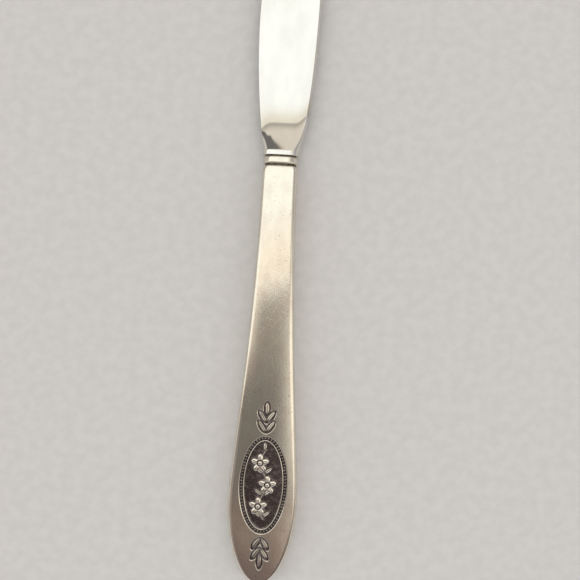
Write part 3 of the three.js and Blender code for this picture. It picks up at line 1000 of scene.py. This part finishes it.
@dataclass(frozen=True)
class Collar:
    """The plain ring between bolster and handle, with the solder above and below it."""

    datum: Datum
    tang: TangRoom
    solder: bpy.types.Material
    finish: PolishedPlate = field(default_factory=PolishedPlate)
    width: float = 10.0
    thickness: float = 7.3
    crown: float = 0.2
    fullness: float = 8.0
    side_fall: float = 0.8
    roll: float = 2.2
    across_steps: int = 40
    roll_steps: int = 14
    along_steps: int = 36
    crease: float = math.radians(40)

    def build(self) -> None:
        """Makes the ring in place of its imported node, and dresses the two plates of solder."""
        share = (1 - np.cos(np.linspace(0, math.pi, self.along_steps + 1))) / 2
        along = self.datum.ferrule_base + (self.datum.ferrule_top - self.datum.ferrule_base) * share
        fall = self.crown * np.abs(2 * share - 1) ** self.fullness
        section = Section(self.roll, 0.0, self.across_steps, self.roll_steps)
        across, up = section.ring(self.width / 2 - fall, self.thickness / 2 - fall, self.side_fall)
        opening = self.tang.opening(self.across_steps, self.roll_steps)
        hole_across, hole_up = opening.ring(self.tang.half_width, self.tang.half_height)
        skin = Skin()
        outside = skin.add(points_of(across, along, up))
        below = skin.add(points_of(hole_across, along[:1], hole_up))
        above = skin.add(points_of(hole_across, along[-1:], hole_up))
        skin.tube(np.vstack([below, outside, above, below]))
        piece = skin.piece("collar_ring", self.datum, self.crease)
        tie(piece, Slot.RING, self.finish.material(), "ferrule")
        dress("bolster_solder", self.solder)
        dress("mouth_solder", self.solder)


@dataclass(frozen=True)
class Leaf:
    """Sizes of one leaf or petal of the ornament: it is domed, with a groove along its middle."""

    length: float
    width: float
    height: float
    point: float = 1.0
    groove_width: float = 0.1
    groove_share: float = 0.3
    fullness: float = 0.75

    def dome(self, across: Array, along: Array, turn: float, margin: float = 0.0) -> Array:
        """Height of the leaf over the ground that it stands on.

        Args:
            across: places across, from the leaf's middle.
            along: places along, from the leaf's middle.
            turn: angle of the leaf's length from the knife's length.
            margin: how far the leaf is drawn larger all round.

        Returns:
            The height, which is 0 outside the leaf.
        """
        lengthwise = across * math.sin(turn) + along * math.cos(turn)
        sideways = across * math.cos(turn) - along * math.sin(turn)
        share = np.clip(lengthwise / (self.length / 2 + margin), -1, 1)
        half_width = (self.width / 2 + margin) * (1 - share**2) ** self.point + TINY
        into = np.clip(np.abs(sideways) / half_width, 0, 1)
        swell = (1 - into**2) ** self.fullness * np.sqrt(1 - share**4)
        groove = self.groove_share * np.exp(-((sideways / self.groove_width) ** 2))
        return self.height * swell * (1 - groove)


@dataclass(frozen=True)
class Ornament:
    """The stamped front: a beaded oval with a vine in it, and a sprig beyond each end."""

    centre: float = 28.8
    width: float = 13.9
    length: float = 28.1
    depth: float = 0.55
    rim_slope: float = 0.42
    bead_count: int = 72
    bead_radius: float = 0.42
    bead_height: float = 0.42
    bead_inset: float = 0.68
    bead_line_steps: int = 960
    # Shares of burnish with a painted highlight on the tops of beads, fillet and vine
    bead_wear_and_highlight: float = 0.26
    fillet_inset: float = 1.34
    fillet_half_width: float = 0.26
    fillet_height: float = 0.48
    fillet_wear_and_highlight: float = 0.8
    # A painted highlight on a band just inside the oval's rim
    rim_highlight: float = 0.55
    rim_highlight_width: float = 0.42
    vine_wear_and_highlight: float = 1.0
    matting: float = 0.014
    vine_length: float = 20.0
    vine_sway: float = 1.2
    vine_radius: float = 0.36
    blossom_count: int = 3
    blossom_pitch: float = 6.2
    petal_count: int = 5
    petal_reach: float = 1.45
    petal: Leaf = Leaf(length=2.7, width=2.0, height=0.53, point=0.5, groove_width=0.12,
                       groove_share=0.15, fullness=0.6)
    boss_radius: float = 0.75
    boss_height: float = 0.6
    boss_ditch: float = 0.7
    ditch_span: tuple[float, float] = (1.5, 1.05)
    leaf: Leaf = Leaf(length=3.2, width=1.4, height=0.46, point=0.9, groove_width=0.12,
                      groove_share=0.35)
    leaf_reach: float = 1.6
    leaf_spread: float = math.radians(52)
    sprig_gap: float = 0.9
    sprig_depth: float = 0.32
    sprig_pairs: int = 2
    sprig_pitch: float = 2.9
    sprig_end: float = 4.8
    sprig_spread: float = math.radians(34)
    sprig_leaf: Leaf = Leaf(length=4.2, width=1.5, height=0.29, point=0.7, groove_width=0.14,
                            groove_share=0.3)
    sprig_rim: float = 0.34
    sprig_bed_share: float = 0.5
    dark_from: float = 0.03
    dark_to: float = 0.2
    bright_from: float = 0.19
    bright_to: float = 0.51

    @property
    def start(self) -> float:
        """Where the ornament begins, from the butt."""
        return 2 * self.centre - self.end

    @property
    def end(self) -> float:
        """Where the ornament ends, from the butt."""
        sprig = self.sprig_gap + self.sprig_end + self.sprig_leaf.length + self.sprig_rim
        return self.centre + self.length / 2 + sprig

    def _from_rim(self, across: Array, along: Array) -> Array:
        """Measures how far places lie from the oval's rim.

        Args:
            across: places across, from the oval's middle.
            along: places along, from the oval's middle.

        Returns:
            The distances, which are negative inside the oval.
        """
        half_width, half_length = self.width / 2, self.length / 2
        reach = np.hypot(across / half_width, along / half_length) + TINY
        slope = np.hypot(across / half_width**2, along / half_length**2) + TINY
        return (reach - 1) * reach / slope

    def _beads(self, across: Array, along: Array) -> Array:
        """Height of the ring of beads over the oval's floor.

        Args:
            across: places across, from the oval's middle.
            along: places along, from the oval's middle.

        Returns:
            The height, which is 0 between the beads.
        """
        angle = np.linspace(0, 2 * math.pi, self.bead_line_steps)
        places = np.stack([(self.width / 2 - self.bead_inset) * np.cos(angle),
                           (self.length / 2 - self.bead_inset) * np.sin(angle)])
        steps = np.hypot(*np.diff(places, axis=1))
        run = np.concatenate([[0], np.cumsum(steps)])
        even = np.linspace(0, run[-1], self.bead_count + 1)[1:]
        height = np.zeros_like(across)
        for bead_across, bead_along in zip(*(np.interp(even, run, place) for place in places)):
            reach = np.hypot(across - bead_across, along - bead_along) / self.bead_radius
            height = np.maximum(height, self.bead_height * np.sqrt(np.clip(1 - reach**2, 0, 1)))
        return height

    def _sway(self, along: Array | float) -> Array | float:
        """How far the vine lies to the side at a place along the oval."""
        return self.vine_sway * np.cos(math.pi * along / self.blossom_pitch)

    def _vine(self, across: Array, along: Array) -> Array:
        """Height of the vine with its blossoms and leaves over the oval's floor.

        Args:
            across: places across, from the oval's middle.
            along: places along, from the oval's middle.

        Returns:
            The height, which is 0 beside the vine.
        """
        slope = self.vine_sway * math.pi / self.blossom_pitch * np.sin(math.pi * along / self.blossom_pitch)
        reach = (across - self._sway(along)) / np.sqrt(1 + slope**2) / self.vine_radius
        height = self.vine_radius * np.sqrt(np.clip(1 - reach**2, 0, 1))
        height = np.where(np.abs(along) < self.vine_length / 2, height, 0)
        for number in range(self.blossom_count + 1):
            foot = self.blossom_pitch * (number - self.blossom_count / 2)
            turns = (self.leaf_spread, -self.leaf_spread) if number < self.blossom_count else (0.0,)
            for turn in turns:
                leaf_across = across - self._sway(foot) - self.leaf_reach * math.sin(turn)
                leaf_along = along - foot - self.leaf_reach * math.cos(turn)
                height = np.maximum(height, self.leaf.dome(leaf_across, leaf_along, turn))
        for number in range(self.blossom_count):
            middle = self.blossom_pitch * (number - (self.blossom_count - 1) / 2)
            height = self._blossom(height, across - self._sway(middle), along - middle)
        return height

    def _blossom(self, height: Array, across: Array, along: Array) -> Array:
        """Lays one blossom over what is there.

        Args:
            height: heights so far.
            across: places across, from the blossom's middle.
            along: places along, from the blossom's middle.

        Returns:
            The heights with the blossom.
        """
        for number in range(self.petal_count):
            turn = 2 * math.pi * number / self.petal_count
            petal_across = across - self.petal_reach * math.sin(turn)
            petal_along = along - self.petal_reach * math.cos(turn)
            height = np.maximum(height, self.petal.dome(petal_across, petal_along, turn))
        reach = np.hypot(across, along) / self.boss_radius
        ditch = smooth(reach, *self.ditch_span)
        height = height * (1 - self.boss_ditch * ditch)
        return np.maximum(height, self.boss_height * np.sqrt(np.clip(1 - reach**2, 0, 1)))

    def _sprig(self, level: Array, across: Array, along: Array, direction: int) -> Array:
        """Sinks one sprig into the face.

        Args:
            level: levels of the face so far.
            across: places across the knife.
            along: places along the knife, from the oval's middle.
            direction: 1 for the sprig towards the neck and -1 for the one towards the butt.

        Returns:
            The levels with the sprig.
        """
        foot = direction * (self.length / 2 + self.sprig_gap)
        leaves = [(self.sprig_pitch * pair, turn) for pair in range(self.sprig_pairs)
                  for turn in (self.sprig_spread, -self.sprig_spread)]
        bed = np.zeros_like(level)
        raised = np.zeros_like(level)
        reach = self.sprig_leaf.length / 2
        for start, turn in [*leaves, (self.sprig_end, 0.0)]:
            leaf_across = across - reach * math.sin(turn)
            leaf_along = along - foot - direction * (start + reach * math.cos(turn))
            sunk = self.sprig_leaf.dome(leaf_across, leaf_along, direction * turn, self.sprig_rim)
            bed = np.maximum(bed, smooth(sunk, 0.0, self.sprig_bed_share * self.sprig_leaf.height))
            raised = np.maximum(raised, self.sprig_leaf.dome(leaf_across, leaf_along, direction * turn))
        return np.where(bed > 0, level - self.sprig_depth * bed + raised, level)

    def stamp(self, across: Array, from_butt: Array) -> tuple[Array, Array]:
        """Level of the stamped front against the plain face, in millimetres, and its wear with painted
        highlights.

        Args:
            across: places across the knife.
            from_butt: places along it, from the butt.

        Returns:
            The levels, which are negative where the front is sunk, and the wear at the same places: oxide in
            the hollows, burnish and a painted highlight on the raised parts.
        """
        along = from_butt - self.centre
        from_rim = self._from_rim(across, along)
        inside = from_rim < 0
        grit = np.random.default_rng(RELIEF_SEED).normal(size=across.shape) * self.matting
        into_fillet = np.clip((from_rim + self.fillet_inset) / self.fillet_half_width, -1, 1)
        fillet = self.fillet_height * np.sqrt(1 - into_fillet**2)
        floor = self.depth * smooth(-from_rim, 0, self.rim_slope)
        vine = np.where(from_rim < -self.fillet_inset, self._vine(across, along), 0)
        beads = self._beads(across, along)
        raised = np.maximum(beads, np.maximum(fillet, vine))
        matted = np.where((raised == 0) & (from_rim < -self.rim_slope), grit, 0)
        level = np.where(inside, np.minimum(raised - floor, 0) + matted, 0)
        level = self._sprig(self._sprig(level, across, along, 1), across, along, -1)
        dark = smooth(-level, self.dark_from, self.dark_to)
        # Painted highlight: a band just inside the rim is made bright all round
        rim = self.bright_to * smooth(from_rim, -self.rim_highlight_width, 0)
        # The tops of the relief are burnished and painted with a highlight; the hollows stay dark with oxide
        worn = ((self.vine_wear_and_highlight, vine), (self.fillet_wear_and_highlight, fillet), (self.bead_wear_and_highlight, beads),
                (self.rim_highlight, rim))
        rubbed_and_highlit = np.max([share * smooth(height, self.bright_from, self.bright_to) for share, height in worn],
                        axis=0)
        return level, np.where(inside, np.maximum(smooth(-level, 0, self.dark_to) - rubbed_and_highlit, -1), dark)


@dataclass(frozen=True)
class HandleForm:
    """Outline, thickness and edges of the whole handle, measured from the butt."""

    length: float
    width: float = 20.0
    thickness: float = 7.4
    butt_length: float = 23.8
    neck_width: float = 10.15
    belly_reach: float = 11.0
    neck_reach: float = 48.0
    crown_fall: float = 0.45
    edge_roll: float = 1.2
    side_draft: float = math.radians(2)
    shoulder_radius: float = 1.5
    lip_radius: float = 0.6
    wall: float = 0.8
    seam_gap: float = 0.3

    def half_width(self, along: Array, inset: float) -> Array:
        """Half of the width at each place.

        Args:
            along: places from the butt.
            inset: how far the outline is drawn in, such as by the wall.

        Returns:
            The half-widths.
        """
        widest = self.width / 2 - inset
        neck = self.neck_width / 2 - inset
        corner = max(self.shoulder_radius - inset, FINEST_RADIUS)
        corner_at = self.length - inset - corner
        line = bezier((self.butt_length, widest), (self.butt_length + self.belly_reach, widest),
                      (self.length - self.neck_reach, neck), (corner_at, neck))
        side = np.interp(along, *line.T)
        from_widest = np.clip((self.butt_length - along) / (self.butt_length - inset), 0, 1)
        into_corner = np.clip((along - corner_at) / corner, 0, 1)
        shoulder = corner * (1 - np.sqrt(1 - into_corner**2))
        return np.where(along < self.butt_length, widest * np.sqrt(1 - from_widest**2), side) - shoulder

    def roll(self, inset: float) -> float:
        """Radius of the rolled edge, drawn in with the form."""
        return max(self.edge_roll - inset, FINEST_RADIUS)

    def corner(self, along: Array, inset: float) -> tuple[Array, Array]:
        """Height and reach of the rolled edge at each place: it runs on round the butt.

        Args:
            along: places from the butt.
            inset: how far the form is drawn in, such as by the wall.

        Returns:
            The heights, and how far the edge reaches across the section.
        """
        roll = self.roll(inset)
        lip = max(self.lip_radius - inset, FINEST_RADIUS)
        height = rounded_rise(along - inset, roll) - lip + rounded_rise(self.length - inset - along, lip)
        into_butt = np.clip((self.butt_length - along) / (self.butt_length - inset), 0, 1)
        half_width = self.half_width(along, inset)
        slope = into_butt * (self.width / 2 - inset) ** 2 / (half_width * (self.butt_length - inset))
        return height, roll * np.hypot(1, slope)


@dataclass(frozen=True)
class HandleShell:
    """One stamped half of the handle: a hollow shell, open at the seam.

    Its sections stand closest under the ornament, or near the butt where there is none.
    """

    face: Face
    form: HandleForm
    datum: Datum
    tang: TangRoom
    across_steps: int
    row_pitch: float
    ornament: Ornament | None = None
    plain_pitch: float = 1.25
    plain_butt: float = 4.0
    roll_steps: int = 9
    inner_across_steps: int = 10
    inner_roll_steps: int = 3
    butt_steps: int = 16
    butt_start_angle: float = 0.14
    shoulder_steps: int = 10
    crease: float = math.radians(75)

    def _stations(self) -> Array:
        """Spaces the outer sections along the handle.

        Returns:
            Their places from the butt.
        """
        form = self.form
        quarter = np.linspace(self.butt_start_angle, math.pi / 2, self.butt_steps)
        butt = form.edge_roll * (1 - np.cos(quarter))
        fine_end = self.ornament.end + form.edge_roll if self.ornament else self.plain_butt
        fine = np.arange(form.edge_roll + self.row_pitch, fine_end, self.row_pitch)
        plain_start = fine[-1] if len(fine) else butt[-1]
        shoulder_at = form.length - form.shoulder_radius
        plain_count = round((shoulder_at - plain_start) / self.plain_pitch)
        plain = np.linspace(plain_start, shoulder_at, plain_count)[1:]
        turn = np.linspace(0, math.pi / 2, self.shoulder_steps)[1:]
        shoulder = shoulder_at + form.shoulder_radius * np.sin(turn)
        return np.concatenate([butt, fine, plain, shoulder])

    def _arches(self, along: Array, inset: float, section: Section) -> tuple[Array, Array]:
        """Draws the shell's outside or inside.

        Args:
            along: places from the butt.
            inset: how far the form is drawn in, such as by the wall.
            section: how the arches are drawn.

        Returns:
            Places across and up, one arch for each place.
        """
        form = self.form
        half_width = form.half_width(along, inset)
        corner = form.corner(along, inset)
        half_height = form.thickness / 2 - inset - form.roll(inset) + corner[0]
        fall = form.crown_fall * (2 * half_width / form.width) ** 2 if self.face is Face.FRONT else 0.0
        return section.arch(half_width, half_height, form.seam_gap / 2, fall, corner)

    def _placed(self, across: Array, along: Array, up: Array) -> Array:
        """Points in the frame's lines, on this shell's side of the seam."""
        return points_of(across, along + self.datum.butt, up * self.face.value)

    def build(self, name: str) -> bpy.types.Object:
        """Makes the shell.

        Args:
            name: name of the new piece.

        Returns:
            The new piece.
        """
        form = self.form
        along = self._stations()
        first = along[0]
        inner_along = form.wall + first + (along - first) * (form.length - 2 * form.wall - first) / (
            form.length - first)
        outer = Section(form.roll(0.0), form.side_draft, self.across_steps, self.roll_steps)
        inner = Section(form.roll(form.wall), form.side_draft, self.inner_across_steps,
                        self.inner_roll_steps)
        across, up = self._arches(along, 0.0, outer)
        wear = np.zeros_like(across)
        if self.ornament:
            # The ornament's wear: oxide in the hollows, burnish with a painted highlight on the tops and rim
            levels, stamped = self.ornament.stamp(across, np.broadcast_to(along[:, None], across.shape))
            on_face = np.abs(across) < np.max(np.abs(across), axis=1, keepdims=True) - form.edge_roll
            up = up + np.where(on_face, levels, 0)
            wear = np.where(on_face, stamped, 0)
        inner_across, inner_up = self._arches(inner_along, form.wall, inner)
        opening = self.tang.opening(self.inner_across_steps, self.inner_roll_steps)
        hole_across, hole_up = opening.arch(self.tang.half_width, self.tang.half_height, form.seam_gap / 2)
        skin = Skin()
        outside = skin.add(self._placed(across, along, up), {Mark.WEAR_AND_PAINTED_LIGHT: wear})
        inside = skin.add(self._placed(inner_across, inner_along, inner_up))
        mouth = skin.add(self._placed(hole_across, along[-1:], hole_up))[0]
        throat = skin.add(self._placed(hole_across, inner_along[-1:], hole_up))[0]
        skin.grid(outside)
        skin.grid(inside)
        skin.grid(np.vstack([mouth, throat]))
        skin.panel(outside[0])
        skin.panel(inside[0])
        skin.panel(outside[-1], mouth[::-1])
        skin.panel(inside[-1], throat[::-1])
        skin.panel(outside[0, [0, -1]], inside[0, [-1, 0]])
        for edge in (0, -1):
            skin.grid(np.stack([outside[:, edge], inside[:, edge]], axis=1))
            skin.panel(np.array([outside[-1, edge], mouth[edge], throat[edge], inside[-1, edge]]))
        return skin.piece(name, self.datum, self.crease)


@dataclass(frozen=True)
class Handle:
    """Both half-shells, with the solder of their seam and the cement inside."""

    datum: Datum
    tang: TangRoom
    solder: bpy.types.Material
    finish: SatinPlate = field(default_factory=SatinPlate)
    cement: SetCement = field(default_factory=SetCement)
    ornament: Ornament = field(default_factory=Ornament)
    front_across_steps: int = 150
    back_across_steps: int = 30
    fine_pitch: float = 0.13

    def build(self) -> None:
        """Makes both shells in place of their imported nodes, and dresses the seam and the cement."""
        form = HandleForm(self.datum.mouth - self.datum.butt)
        plate = self.finish.material()
        front = HandleShell(Face.FRONT, form, self.datum, self.tang, self.front_across_steps,
                            self.fine_pitch, self.ornament)
        back = HandleShell(Face.BACK, form, self.datum, self.tang, self.back_across_steps, self.fine_pitch)
        tie(front.build("handle_front_shell"), Slot.PLATE, plate, "handle_front")
        tie(back.build("handle_back_shell"), Slot.PLATE, plate, "handle_back")
        dress("seam_solder", self.solder)
        dress("handle_cement", self.cement.material())


WALL_TO_WALL = (-20.0, -19.0, 19.0, 20.0)  # edges of a light panel that fills the room across


@dataclass(frozen=True)
class LightPanel:
    """A soft-edged rectangle of light in the ceiling.

    Its edges are distances across and along a ceiling one unit above the knife. Each pair holds the place
    where the light begins and the place where it is full, then the place where it begins to fade and the
    place where it has gone. The lean is how far its sides shift across in one unit along, and the slant how
    far its ends shift along in one unit across.
    """

    tint: str
    strength: float
    across: tuple[float, float, float, float]
    along: tuple[float, float, float, float]
    lean: float = 0.0
    slant: float = 0.0

    def share(self, room: Graph, across: Socket, along: Socket) -> Socket:
        """How much of the panel shows in each direction.

        Args:
            room: the room's node tree.
            across: place on the ceiling, across the knife.
            along: place on the ceiling, along the knife.

        Returns:
            The share's socket.
        """
        upright, level = (
            add_node(room.tree, "ShaderNodeMath", {"operation": "MULTIPLY_ADD", 1: -shift},
                     {0: other, 2: place}).outputs["Value"]
            for place, other, shift in ((across, along, self.lean), (along, across, self.slant)))
        edges = [room.ramp(place, low, high) for place, span in ((upright, self.across), (level, self.along))
                 for low, high in (span[:2], span[:1:-1])]
        return room.join(Join.PRODUCT, *edges)


@dataclass(frozen=True)
class Room:
    """The light round the knife: a window over the neck, a lit wall on the right and a dim near half."""

    over_neck: str = "#AEA69E"
    over_butt: str = "#86817C"
    dim_from: float = -0.03
    dim_to: float = -0.18
    panels: tuple[LightPanel, ...] = (
        # The near half of the room is dim, warm over the knife and grey further off
        LightPanel("#7E6F6C", 1.0, WALL_TO_WALL, (-20.0, -19.0, -0.42, -0.24)),
        LightPanel("#757270", 1.0, WALL_TO_WALL, (-20.0, -19.0, -0.75, -0.5)),
        # Paler strips across the near half, over the butt
        LightPanel("#998981", 1.0, WALL_TO_WALL, (-0.41, -0.375, -0.35, -0.3)),
        LightPanel("#BCADA3", 1.0, (-0.02, 0.2, 4.0, 6.0), (-0.44, -0.4, -0.36, -0.3)),
        # Walls at both sides of the near half, seen in the rolled edges of the handle
        LightPanel("#AAA09E", 1.0, (-9.0, -7.0, -0.6, -0.3), (-1.5, -1.0, -0.3, -0.15)),
        LightPanel("#B4A9A4", 1.0, (0.5, 1.0, 7.0, 9.0), (-1.0, -0.7, -0.3, -0.15)),
        # The far half is pale, and warmer on the left
        LightPanel("#D0CCCA", 0.8, WALL_TO_WALL, (-0.06, 0.12, 19.0, 20.0)),
        LightPanel("#F7EDDE", 1.0, (-20.0, -19.0, 0.26, 0.6), (-0.06, 0.12, 19.0, 20.0)),
        # A lit wall on the right, seen along that side of the handle
        LightPanel("#FFF7EA", 1.4, (-0.04, 0.3, 4.0, 6.0), (-0.42, -0.1, -0.05, 0.02)),
        LightPanel("#FFF7EA", 1.35, (0.35, 0.7, 5.0, 7.0), (-0.55, -0.3, 0.0, 0.22)),
        # The window over the neck and the blade, with a warm edge towards the handle
        LightPanel("#FFF4E6", 1.0, (-9.0, -7.0, -0.2, -0.06), (-0.16, -0.03, 0.0, 0.1)),
        LightPanel("#FEFFFB", 1.37, (-9.0, -7.0, 0.14, 0.28), (-0.016, 0.034, 0.46, 0.56), slant=0.12),
        LightPanel("#FFF4E6", 1.33, (-9.0, -7.0, 0.14, 0.28), (-0.016, 0.034, 0.05, 0.13), slant=0.12),
        # A dark doorway at the far left, seen in the cove
        LightPanel("#7D7976", 1.0, (-7.0, -6.0, -1.75, -1.56), (0.4, 0.55, 1.35, 1.5), lean=0.606),
        LightPanel("#7D7976", 1.0, (-7.0, -6.0, -1.04, -0.92), (1.22, 1.36, 3.4, 4.0), lean=0.454),
        # The near wall is bright low down
        LightPanel("#F6F9FF", 1.2, WALL_TO_WALL, (-20.0, -19.0, -2.6, -1.1)),
    )
    horizon: str = "#EAE4D8"
    horizon_strength: float = 1.0
    horizon_from: float = 0.3
    horizon_to: float = 0.12
    lowest: float = 0.05

    def build(self) -> None:
        """Lights the room."""
        world = bpy.data.worlds.new("room")
        bpy.context.scene.world = world
        world.use_nodes = True
        room = Graph(world.node_tree)
        way = add_node(room.tree, "ShaderNodeTexCoord").outputs["Generated"]
        parts = add_node(room.tree, "ShaderNodeSeparateXYZ", None, {"Vector": way}).outputs
        height = add_node(room.tree, "ShaderNodeMath", {"operation": "MAXIMUM", 1: self.lowest},
                          {0: parts["Z"]}).outputs["Value"]
        across = room.join(Join.QUOTIENT, parts["X"], height)
        along = room.join(Join.QUOTIENT, parts["Y"], height)
        base = room.colour(room.ramp(along, self.dim_from, self.dim_to), self.over_neck, self.over_butt)
        light = add_node(room.tree, "ShaderNodeBackground", {"Strength": 1.0}, {"Color": base}).outputs[0]
        for panel in self.panels:
            share = panel.share(room, across, along)
            light = self._over(room, light, share, panel.tint, panel.strength)
        low = room.ramp(parts["Z"], self.horizon_from, self.horizon_to)
        light = self._over(room, light, low, self.horizon, self.horizon_strength)
        add_node(room.tree, "ShaderNodeOutputWorld", None, {"Surface": light})

    def _over(self, room: Graph, light: Socket, share: Socket, tint: str, strength: float) -> Socket:
        """Lays one light over what is there.

        Args:
            room: the room's node tree.
            light: the light so far.
            share: how much of the new light shows in each direction.
            tint: its colour.
            strength: its level.

        Returns:
            The light with the new one.
        """
        settings = {"Color": linear(tint), "Strength": strength}
        new = add_node(room.tree, "ShaderNodeBackground", settings).outputs["Background"]
        both = add_node(room.tree, "ShaderNodeMixShader", None, {0: share, 1: light, 2: new})
        return both.outputs["Shader"]


@dataclass(frozen=True)
class Studio:
    """Table, room light and camera."""

    table: MattCard = field(default_factory=MattCard)
    table_size: float = 40_000.0
    room: Room = field(default_factory=Room)
    camera_foot: tuple[float, float] = (4.68, -29.435)
    camera_height: float = 203.7
    camera_turn: float = math.radians(3.082)
    camera_lens: float = 42.7
    camera_near: float = 10.0

    def _table(self) -> None:
        """Lays the pale table under the knife."""
        half = self.table_size / 2 * MM
        mesh = bpy.data.meshes.new("table")
        corners = [(-half, -half, 0), (half, -half, 0), (half, half, 0), (-half, half, 0)]
        mesh.from_pydata(corners, [], [(0, 1, 2, 3)])
        mesh.materials.append(self.table.material())
        table = bpy.data.objects.new("table", mesh)
        bpy.context.collection.objects.link(table)

    def _camera(self) -> None:
        """Sets the camera over the handle, looking straight down."""
        lens = bpy.data.cameras.new("camera")
        lens.lens = self.camera_lens
        lens.clip_start = self.camera_near * MM
        camera = bpy.data.objects.new("camera", lens)
        across, along = self.camera_foot
        place = Matrix.Translation(Vector((across, along, self.camera_height)) * MM)
        camera.matrix_world = place @ Matrix.Rotation(self.camera_turn, 4, "Z")
        bpy.context.collection.objects.link(camera)
        bpy.context.scene.camera = camera

    def build(self) -> None:
        """Sets up everything that isn't the knife."""
        self._table()
        self.room.build()
        self._camera()
        bpy.context.scene.view_settings.view_transform = "Standard"
        log.info("studio: table, room light and camera")


def main() -> None:
    """Builds the knife from its sub-assemblies, and the studio round it."""
    logging.basicConfig(level=logging.INFO)
    datum = Datum.from_frame()
    tang = TangRoom()
    solder = DullSolder().material()
    Blade(datum, tang).build()
    Collar(datum, tang, solder).build()
    Handle(datum, tang, solder).build()
    Studio().build()


if __name__ == "__main__":
    main()
